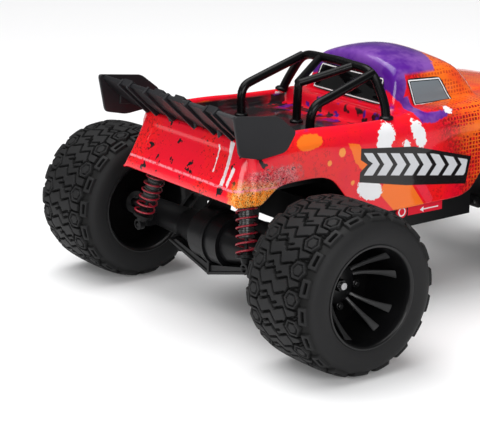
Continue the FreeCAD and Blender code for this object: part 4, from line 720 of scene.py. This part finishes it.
# Height of the tread, 0 to 1: blocks parted by thin zigzag grooves, six-sided shoulder blocks and slotted end bars
def treadHeight(across, along, pitch):
    wide = np.abs(across)
    groove = np.full(across.shape, 9.0)
    zigzag = [(-25.0, -10.5), (-15.5, -6.5), (-11.5, 1.0), (-1.5, -3.0), (2.5, 4.5), (12.5, 0.5),
            (16.5, 8.0), (25.0, 4.5)]
    short = [(-10.0, 6.5), (-5.0, 4.4), (-1.0, 12.0), (5.5, 9.4)]
    for line in (zigzag, [(a, b + pitch * 0.5) for a, b in zigzag], short):
        groove = np.minimum(groove, lineDistance(across, along, pitch, line))
    height = ramp(groove, 0.5, 1.0) * ramp(24.6 - wide, 0.0, 0.7)
    for mirror in (1, -1):
        shift = 4.0 if mirror > 0 else 4.0 + pitch * 0.5
        da = across * mirror - 20.0
        dl = (along * mirror - shift + pitch * 20.5) % pitch - pitch * 0.5
        six = np.maximum(np.abs(dl), np.abs(dl) * 0.5 + np.abs(da) * 0.866)
        block = ramp(6.4 - six, 0.0, 0.5) * (1 - 0.55 * ramp(0.75 - np.abs(six - 3.9), 0.0, 0.45))
        height = np.where(six < 7.5, block, height)
        endBar = (along * mirror - shift - pitch * 0.5 + pitch * 20.5) % pitch - pitch * 0.5
        bar = np.minimum(7.4 - np.abs(endBar), np.minimum(across * mirror - 25.4, 33.0 - across * mirror))
        slotDeep = np.minimum(4.0 - np.abs(endBar), 0.8 - np.abs(across * mirror - 29.6))
        height = np.where(bar > 0, np.maximum(height * ramp(0.5 - bar, 0.0, 0.5),
                ramp(bar, 0.0, 1.2) * 0.75), height)
        height = height * (1 - ramp(slotDeep, -0.3, 0.4)) - 0.6 * ramp(slotDeep, -0.3, 0.4)
    return height


# One tyre: section offsets move out along the section's own normal by depth times tread height; shade, painted shade
# for the grooves, is 1 on top
def tyrePart(sign, axle):
    s = tyreSizes
    section = refine(np.array(s["section"], float), 0, 4)
    length = np.concatenate([[0], np.cumsum(np.linalg.norm(np.diff(section, axis=0), axis=1))])
    place = np.concatenate([np.linspace(0, 17.5, 10, endpoint=False),
            np.linspace(17.5, length[-1] - 17.5, 102),
            np.linspace(length[-1] - 17.5, length[-1], 11)[1:]])
    section = np.stack([np.interp(place, length, section[:, k]) for k in range(2)], 1)
    tangent = np.gradient(section, axis=0)
    normal = np.stack([-tangent[:, 1], tangent[:, 0]], 1)
    normal /= np.linalg.norm(normal, axis=1)[:, None]
    rows = s["pitches"] * s["cell"]
    pitch = 2 * math.pi * s["outer"] / s["pitches"]
    along = np.arange(s["cell"]) * pitch / s["cell"]
    centre = length[-1] / 2
    across, alongGrid = np.meshgrid(place - centre, along)
    height = np.tile(treadHeight(across * 0.985, alongGrid, pitch), (s["pitches"], 1))
    offset = section[None] + normal[None] * (height * s["depth"])[..., None]
    offset[..., 0] = np.clip(offset[..., 0], -s["halfWidth"], s["halfWidth"])
    radius = np.minimum(offset[..., 1], s["outer"] - 0.02)
    turn = np.arange(rows) * 2 * math.pi / rows
    points = np.stack([axle + radius * np.sin(turn)[:, None] * sign, sign * (s["centre"] + offset[..., 0]),
            s["outer"] + radius * np.cos(turn)[:, None]], -1)
    inner = np.stack([axle + 34.9 * np.sin(turn) * sign, np.full(rows, sign * (s["centre"] + 30.0)),
            s["outer"] + 34.9 * np.cos(turn)], -1)
    other = inner * (1, 0, 1) + (0, sign * (s["centre"] - 30.0), 0)
    points = np.concatenate([other[:, None], points, inner[:, None]], 1)
    raised = np.pad(height, ((0, 0), (1, 1)))
    onTread = np.pad(ramp(np.abs(place - centre), 37.0, 31.0)[None] * np.ones((rows, 1)), ((0, 0), (1, 1)))
    # painted shade: darker down in the tread's grooves, full colour on the raised blocks and off the tread
    shade = 1 - onTread * (1 - ramp(raised, 0.0, 0.8))
    return (points.reshape(-1, 3), gridFaces(rows, points.shape[1], wrapRows=True,
            wrapCols=True)), shade.ravel()


wheelBodies = {("rear", "left"): "rear_wheelset", ("rear", "right"): "rear_wheelset",
        ("front", "left"): "front_left_wheel", ("front", "right"): "front_right_wheel"}
# Rubber with painted shade: its colour darkens by the stored tread shade, so grooves read deeper than ribs
def treadPaint():
    material = finish("treadRubber", (0.0095, 0.0095, 0.010), 0.62, 1500.0, 0.35, 0.2, 0.22, 0.0)
    net = Net(material.node_tree)
    shader = next(n for n in material.node_tree.nodes if n.type == "BSDF_PRINCIPLED")
    plain = shader.inputs["Base Color"].links[0].from_socket
    shade = net.add("ShaderNodeAttribute", attribute_name="shade").outputs["Fac"]
    # painted shade: the stored shade mixes the rubber towards near black in the grooves
    net.feed(shader.inputs["Base Color"], net.mix(shade, (0.0012, 0.0012, 0.0012), plain))
    return material


treadRubber = treadPaint()
for (end, name), body in wheelBodies.items():
    tyre, shade = tyrePart(sides[name], axles[end])
    makePiece("tyre_%s_%s" % (end, name), tyre, body, treadRubber,
            ["%s_%s_tyre" % (end, name)], 33,
              {"shade": shade})
print("tyres built")

# ---- rims: a turned barrel and hub, ten flared spokes in five pairs, five bolts and a hexagon nut

rimSizes = dict(centre=wheelMiddle, barrel=[(34.8, 37.45), (35.7, 37.0), (35.8, 36.2), (35.3, 35.3),
        (34.0, 34.6), (29.0, 34.2), (14.0, 33.8),
        (-20.0, 33.4), (-32.5, 33.9), (-34.6, 34.8), (-35.7, 36.3), (-35.4, 37.3), (-34.2, 37.0),
        (-32.8, 35.7), (-20.0, 35.2), (14.0, 35.2), (31.0, 35.7), (33.6, 36.6)],
        spokeStart=12.6, spokeEnd=33.6, rootTurn=7.5, tipTurn=14.5, rise=24.0, pairTurn=8.0,
        boltCircle=17.0)


# Hexagonal solid along Y with a small bevel at both ends, starting at y0 and ending at y1
def hexPart(centreX, centreZ, radius, y0, y1, turned=0.0):
    turn = np.arange(6) * math.pi / 3 + turned
    outline = np.stack([centreX + radius * np.cos(turn), centreZ + radius * np.sin(turn)], 1)
    return prism(outline, 1, min(y0, y1), max(y0, y1), 0.35)


# Ten spokes at once: a squared section whose width grows with the fourth power of the way out, so the tips flare
def spokesPart(sign, axle, face):
    s = rimSizes
    t = np.linspace(0, 1, 15)
    pair = np.repeat(np.arange(5) * 72.0, 2) + s["pairTurn"]
    hand = np.tile([-1.0, 1.0], 5)
    angle = np.radians(pair[:, None] + hand[:,
            None] * (s["rootTurn"] + (s["tipTurn"] - s["rootTurn"]) * t ** 1.2))
    radius = s["spokeStart"] + (s["spokeEnd"] - s["spokeStart"]) * t
    width = (1.15 + 0.6 * t + 1.35 * t ** 4)[None, :, None]
    depth = (2.0 - 0.7 * t)[None, :, None]
    outward = (face - 1.2 + s["rise"] * t ** 1.5)[None, :, None]
    ring = np.linspace(0, 2 * math.pi, 12, endpoint=False)
    c, n = np.cos(ring), np.sin(ring)
    flatC, flatN = np.sign(c) * np.abs(c) ** 0.6, np.sign(n) * np.abs(n) ** 0.7
    sideways = flatC * width
    level = outward - depth + flatN * depth
    middle = radius[None, :, None]
    x = axle + sign * (middle * np.sin(angle)[..., None] + sideways * np.cos(angle)[..., None])
    z = wheelHeight + middle * np.cos(angle)[..., None] - sideways * np.sin(angle)[..., None]
    points = np.stack([x, sign * (level + 0 * x), z], -1)
    parts = []
    for k in range(10):
        faces = gridFaces(15, 12, wrapCols=True) + [list(range(12))[::-1], list(range(168, 180))]
        parts.append((points[k].reshape(-1, 3), faces))
    return merged(parts)


for (end, name), body in wheelBodies.items():
    sign, axle = sides[name], axles[end]
    nutNode = "rear_wheel_nuts" if end == "rear" else "front_%s_wheel_nut" % name
    nutLow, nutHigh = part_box(nutNode)
    tip = max(abs(nutLow[1]), abs(nutHigh[1])) / mm
    face = tip - 5.1
    centre = (axle, 0.0, wheelHeight)
    parts = [lathe([(rimSizes["centre"] + a, r) for a, r in rimSizes["barrel"]], centre, (0, sign, 0), 96)]
    parts.append(lathe([(face, 4.4), (face, 13.4), (face - 0.8, 14.6), (face - 4.6, 14.6),
            (face - 6.0, 11.0),
            (face - 17.0, 9.0), (face - 17.0, 4.4)], centre, (0, sign, 0), 48))
    # the spokes take the lighter finish, a painted sheen, while the barrel and hub keep rim_black
    makePiece("spokes_%s_%s" % (end, name), spokesPart(sign, axle, face), body,
            finishes["spoke_painted_sheen"],
              ["%s_%s_rim" % (end, name)], 40)
    # painted shade: a matte near-black disc set deep behind the spokes darkens the gaps between them
    dish = lathe([(face - 8.0, 8.0), (face - 8.0, 33.9), (face - 9.6, 33.9), (face - 9.6, 8.0)], centre,
            (0, sign, 0), 72)
    makePiece("dish_%s_%s" % (end, name), dish, body, finishes["void_painted_shade"],
            ["%s_%s_rim" % (end, name)], 40)
    for k in range(5):
        turn = math.radians(72 * k + 36 + rimSizes["pairTurn"])
        bx = axle + sign * rimSizes["boltCircle"] * math.sin(turn)
        bz = wheelHeight + rimSizes["boltCircle"] * math.cos(turn)
        parts.append(lathe([(face - 5.5, 0.01), (face - 5.5, 3.1), (face - 0.6, 3.1), (face - 0.2, 2.7),
                (face - 0.2, 0.01)],
                (bx, 0, bz), (0, sign, 0), 18, closed=False))
        parts.append(hexPart(bx, bz, 2.2, sign * (face - 0.5), sign * (face + 1.3)))
    makePiece("rim_%s_%s" % (end, name), merged(parts), body, finishes["rim_black"],
              ["%s_%s_rim" % (end, name)], 40)
    nut = [hexPart(axle, wheelHeight, 4.55, sign * (tip - 4.9), sign * (tip - 0.6)),
           lathe([(tip - 5.2, 0.01), (tip - 5.2, 2.4), (tip - 0.3, 2.4), (tip, 2.0), (tip, 0.01)], centre,
           (0, sign, 0),
            24, closed=False)]
    makePiece("nut_%s_%s" % (end, name), merged(nut), body, finishes["rim_black"], [nutNode],
            40)
print("rims built")

# ---- roll cage: bent tubes with collars at the feet

cageSizes = dict(radius=3.45, bend=11)
cageParts, feet = [], [(-62, 0, 139)]
for sign in sides.values():
    hoop = [(-27, sign * 63, 148.6), (-24.4, sign * 58, 160), (-23, sign * 41.5, 181), (-23, 0, 182.2)]
    stay = [(-83, sign * 42, 139), (-82.4, sign * 43.4, 161.5), (-66, sign * 43.6, 166.4),
            (-23.4, sign * 42.5, 179.4)]
    vee = [(-23.4, sign * 20, 181.4), (-60, sign * 1.2, 169.4)]
    cageParts += [tube(rounded(hoop, cageSizes["bend"]), cageSizes["radius"]),
            tube(rounded(stay, cageSizes["bend"]), cageSizes["radius"]), tube(vee, 3)]
    feet += [(-27.2, sign * 63.6, 148.8), (-83, sign * 42, 139)]
cageParts.append(tube(rounded([(-58, 0, 171), (-60.6, 0, 168), (-62, 0, 139.2)], 4), 3.3))
for foot in feet:
    collar = [(0, 0.01), (0, 5.2), (1.6, 5.2), (2.6, 4), (2.6, 0.01)]
    cageParts.append(lathe(collar, foot, (0, 0, 1), 28, closed=False))
makePiece("cage", merged(cageParts), "shell", finishes["cage_black"], ["roll_cage"], 50)
print("cage built")

# ---- rear wing: two endplates, a slanted blade with fins and a stepped upper edge, three posts

wingSizes = dict(half=87, plate=2.4)
wingParts = []
plate = [(-184.6, 176.6), (-146, 171.6), (-129.6, 158.6), (-139, 145), (-161, 142.9), (-179.4, 147.2)]
plate = rounded(plate + plate[:2], 3)[1:-1]
for sign in sides.values():
    low, high = sorted((sign * (wingSizes["half"] - wingSizes["plate"]), sign * wingSizes["half"]))
    wingParts.append(prism(plate, 1, low, high, 0.7))
    boss = [(-166, 161), (-156, 161), (-153, 155), (-158, 150.5), (-167, 152)]
    low, high = sorted((sign * (wingSizes["half"] - wingSizes["plate"] - 1.2),
            sign * (wingSizes["half"] - 1)))
    wingParts.append(prism(boss, 1, low, high, 0.5))
blade = rounded([(-181.2, 173.6), (-179, 176), (-166, 163), (-152.6, 151.8), (-154, 149), (-167.6, 159.6)],
        1.4)
wingParts.append(prism(blade, 1, -85, 85, 0.4))
for y in (-60, -48, -26, 0, 26, 48, 60):
    fin = [(-179.2, 176.9), (-184.2, 173), (-158.2, 148), (-152.8, 150.6), (-153.4, 154)]
    wingParts.append(prism(fin, 1, y - 1.1, y + 1.1, 0.3))
for y in (-54, -13, 13, 54):
    tab = [(-181.8, 173.4), (-178, 177.3), (-173.4, 173.2), (-176.6, 169.4)]
    wingParts.append(prism(tab, 1, y - 5.5, y + 5.5, 0.4))
for y in (-31, 0, 31):
    wingParts.append(tube([(-154.4, y, 143), (-155.6, y, 150), (-157.2, y, 157)], 2.3, 16))
makePiece("wing", merged(wingParts), "shell", finishes["wing_black"], ["rear_wing"], 40)
print("wing built")

# ---- dampers: ribbed bodies, and a coil on each


# A coil of turns from low to high along a line, its wire's centre at radius from the line
def coilPath(start, end, radius, turns, steps):
    start, end = np.asarray(start, float), np.asarray(end, float)
    axis = (end - start) / np.linalg.norm(end - start)
    first = np.cross(axis, (0.0, 0.0, 1.0) if abs(axis[2]) < 0.9 else (1.0, 0.0, 0.0))
    first /= np.linalg.norm(first)
    second = np.cross(axis, first)
    t = np.linspace(0, 1, int(turns * steps))
    turn = 2 * math.pi * turns * t
    ring = first[None] * np.cos(turn)[:, None] + second[None] * np.sin(turn)[:, None]
    return start + (end - start) * t[:, None] + ring * radius, axis


# Point at a given distance from start on the line to end
def onLine(start, end, far):
    start, end = np.asarray(start, float), np.asarray(end, float)
    return start + (end - start) / np.linalg.norm(end - start) * far


# An eye: a ring about the X direction round centre
def eyePart(centre, inner, outer, half):
    return lathe([(-half, inner), (-half, outer - 0.4), (-half + 0.4, outer), (half - 0.4, outer),
            (half, outer - 0.4),
            (half, inner)], centre, (1, 0, 0), 32)


damperSizes = dict(rear=dict(top=(-146, 50, 125), foot=(-160, 69, 59), reach=48.5, turns=8.5),
        front=dict(top=(114, 44, 120), foot=(114, 62, 62), reach=36, turns=7.5),
        coil=7.35, wire=0.72)
for end in ("rear", "front"):
    d = damperSizes[end]
    for name, sign in sides.items():
        top, foot = np.array(d["top"]) * (1, sign, 1), np.array(d["foot"]) * (1, sign, 1)
        gap = float(np.linalg.norm(foot - top))
        along = (foot - top) / gap
        body = "%s_%s_damper" % (end, name)
        profile = [(3, 0.01), (3, 3.6), (6.4, 4.2), (6.9, 8.1), (9, 8.1), (9.2, 5.9)]
        level = 10.2
        while level < d["reach"] - 3:
            profile += [(level, 5.2), (level + 0.9, 5.2), (level + 1.3, 6), (level + 2.5, 6),
                    (level + 2.9, 5.2)]
            level += 3.9
        profile += [(d["reach"] - 0.4, 5.2), (d["reach"], 4.8), (d["reach"], 1.75), (8.6, 1.75),
                (8.6, 0.01)]
        parts = [lathe(profile, top, along, 40, closed=False), eyePart(top, 1.6, 4.4, 2.5)]
        makePiece("damper_%s_%s" % (end, name), merged(parts), body, finishes["damper_grey"],
                  [body + "_body"], 40)
        low = gap - 9.2
        parts = [lathe([(17.4, 0.01), (17.8, 1.38), (low - 4.6, 1.38), (low - 4.4, 3.9),
                (low - 0.6, 4.4), (low - 0.2, 8.1), (low + 1.8, 8.1), (low + 2.6, 4.4), (gap - 3.2, 3.4),
                (gap - 3, 0.01)], top, along, 32, closed=False), eyePart(foot, 2.6, 4.4, 2.5)]
        makePiece("damperRod_%s_%s" % (end, name), merged(parts), body + "_rod",
                finishes["chassis_black"],
                  [body + "_rod"], 40)
        high, low = onLine(top, foot, 10), onLine(top, foot, gap - 10.2)
        path, axis = coilPath(high, low, damperSizes["coil"], d["turns"], 30)
        spring = makePiece("spring_%s_%s" % (end, name), tube(path, damperSizes["wire"], 8, tuple(axis)),
                None,
                finishes["spring_red"], ["%s_%s_spring" % (end, name)], 60)
        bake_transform(spring)
print("dampers built")

# ---- skid brace: two ribbed arms meeting under the case, with webs up to it

braceSizes = dict(low=33.1, high=46.8, half=51.8)
braceParts = []
for sign in sides.values():
    low, high, half = braceSizes["low"], braceSizes["high"], sign * braceSizes["half"]
    strip = np.array([(0, low), (half, high), (half, high + 2.4), (0, low + 2.5)])
    braceParts.append(prism(strip, 0, -144.8, -129.2, 0.4))
    for x in (-143.6, -137.8, -132):
        rib = np.array([(0, 35), (sign * 49, 48), (sign * 44, 50.2), (sign * 19, 44.6), (0, 40.8)])
        braceParts.append(prism(rib, 0, x, x + 1.8, 0.3))
braceParts.append(prism(np.array([(-145, 33.4), (-129.2, 33.4), (-129.2, 41), (-145, 44)]), 1, -1.4, 1.4,
        0.3))
makePiece("skidBrace", merged(braceParts), "rear_axle", finishes["axle_black"],
        ["skid_brace"], 30)
print("brace built")

# ---- every CAD node gets a finish picked by the words in its name

# Chassis side: bare plastic with a small red panel holding a plain ring and an arrow
def panelPaint(name, ground):
    material, net, shader = newMaterial(name, Roughness=0.42, Specular_IOR_Level=0.2)
    place = net.add("ShaderNodeTexCoord").outputs["Object"]
    axes = net.add("ShaderNodeSeparateXYZ", {0: place}).outputs
    x, y, z = [net.times(axes[k], 1000) for k in range(3)]
    outer = net.ramp(y, -63.5, -64.5)
    panel = net.ramp(net.inside(x, z, [(-9, 72.5), (26, 72), (26, 79.4), (-9, 79.8)]), 0, 0.3)
    arrow = net.most(net.inside(x, z, [(3, 75.2), (7, 77.6), (7, 72.8)]),
            net.inside(x, z, [(6.8, 74.6), (22, 74.6), (22, 75.8), (6.8, 75.8)]))
    far = net.math("SQRT", net.plus(net.math("POWER", net.plus(x, 16), 2),
            net.math("POWER", net.minus(z, 77), 2)))
    ring = net.ramp(net.math("ABSOLUTE", net.minus(far, 3.1)), 0.65, 0.4)
    colour = net.mix(net.times(panel, outer), ground, (0.70, 0.01, 0.03))
    colour = net.mix(net.times(outer, net.most(net.ramp(arrow, 0, 0.3), ring)), colour, (0.80, 0.80, 0.80))
    net.feed(shader.inputs["Base Color"], colour)
    return material


finishes["tub"] = panelPaint("chassisSide", (0.005, 0.005, 0.0055))
finishes["button"] = panelPaint("buttonFace", (0.66, 0.01, 0.03))
guess = {"tub": "tub", "bumper": "chassis_black", "tower": "chassis_black", "battery_pack": "battery_blue",
         "door": "chassis_black", "receiver": "receiver_grey", "servo": "servo_black", "pins": "pin_steel",
         "screws": "pin_steel", "posts": "chassis_black", "power_button": "button", "motor": "motor_can",
         "spur": "gear_white", "pinion": "pinion_brass", "spring": "spring_red", "damper": "damper_grey",
         "tyre": "tyre_rubber", "rim": "rim_black", "nut": "rim_black", "shaft": "pin_steel"}
for name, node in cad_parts.items():
    found = next((value for key, value in guess.items() if key in name), "axle_black")
    node.data.materials.clear()
    node.data.materials.append(finishes[found])

# ---- floor, light and camera

stageSizes = dict(reach=6.0, target=(-0.131, 0.0, 0.060), azimuth=-35.85, elevation=17.05,
        distance=1.36646, lens=136.5,
        air=0.16, floorGlow=0.02, floorSeen=0.03)
floorMaterial, floorNet, floorShader = newMaterial("floor", Roughness=0.9, Specular_IOR_Level=0.1)
floorShader.inputs["Base Color"].default_value = (0.84, 0.84, 0.845, 1.0)
floorShader.inputs["Emission Color"].default_value = (1.0, 1.0, 1.0, 1.0)
floorSeen = floorNet.add("ShaderNodeLightPath").outputs["Is Camera Ray"]
floorNet.feed(floorShader.inputs["Emission Strength"],
        floorNet.math("MULTIPLY_ADD", floorSeen, stageSizes["floorSeen"], stageSizes["floorGlow"]))
r = stageSizes["reach"]
floorMesh = bpy.data.meshes.new("floor")
floorMesh.from_pydata([(-r, -r, 0), (r, -r, 0), (r, r, 0), (-r, r, 0)], [], [(0, 1, 2, 3)])
floorMesh.materials.append(floorMaterial)
floor = bpy.data.objects.new("floor", floorMesh)
bpy.context.scene.collection.objects.link(floor)

world = bpy.data.worlds.new("studio")
bpy.context.scene.world = world
world.use_nodes = True
worldNet = Net(world.node_tree)
seen = worldNet.add("ShaderNodeLightPath").outputs["Is Camera Ray"]
background = world.node_tree.nodes["Background"]
background.inputs[0].default_value = (1.0, 1.0, 1.0, 1.0)
worldNet.feed(background.inputs[1], worldNet.plus(stageSizes["air"],
        worldNet.times(seen, 1.0 - stageSizes["air"])))


# A soft rectangular lamp at place, turned to look at aim
def softLamp(name, place, aim, width, height, power):
    data = bpy.data.lights.new(name, "AREA")
    data.shape, data.size, data.size_y, data.energy = "RECTANGLE", width, height, power
    lamp = bpy.data.objects.new(name, data)
    lamp.location = place
    lamp.rotation_mode = "QUATERNION"
    lamp.rotation_quaternion = (Vector(aim) - Vector(place)).to_track_quat("-Z", "Y")
    bpy.context.scene.collection.objects.link(lamp)
    return lamp


softLamp("overhead", (-0.15, 0.25, 1.3), (-0.05, 0, 0.05), 1.1, 0.7, 6.0)
sunData = bpy.data.lights.new("skyPanel", "SUN")
sunData.energy, sunData.angle = 2.45, math.radians(70)
sun = bpy.data.objects.new("skyPanel", sunData)
sun.rotation_mode = "QUATERNION"
sun.rotation_quaternion = Vector((0.22, -0.12, -1.0)).to_track_quat("-Z", "Y")
bpy.context.scene.collection.objects.link(sun)
softLamp("rearRight", (-0.75, -1.7, 0.85), (-0.03, 0, 0.1), 1.3, 0.7, 19.0)
softLamp("rear", (-2.0, -0.2, 0.7), (-0.1, 0, 0.1), 0.9, 0.5, 8.0)

cameraData = bpy.data.cameras.new("view")
camera = bpy.data.objects.new("view", cameraData)
bpy.context.scene.collection.objects.link(camera)
a, e = math.radians(stageSizes["azimuth"]), math.radians(stageSizes["elevation"])
back = Vector((math.sin(a) * math.cos(e), -math.cos(a) * math.cos(e), math.sin(e)))
camera.location = Vector(stageSizes["target"]) + back * stageSizes["distance"]
camera.rotation_mode = "QUATERNION"
camera.rotation_quaternion = (-back).to_track_quat("-Z", "Y")
cameraData.lens = stageSizes["lens"]
cameraData.sensor_width = 36.0
cameraData.shift_x, cameraData.shift_y = 0.036, 0.035
cameraData.clip_start, cameraData.clip_end = 0.05, 30.0
bpy.context.scene.camera = camera
bpy.context.scene.view_settings.view_transform = "Standard"
print("stage set")
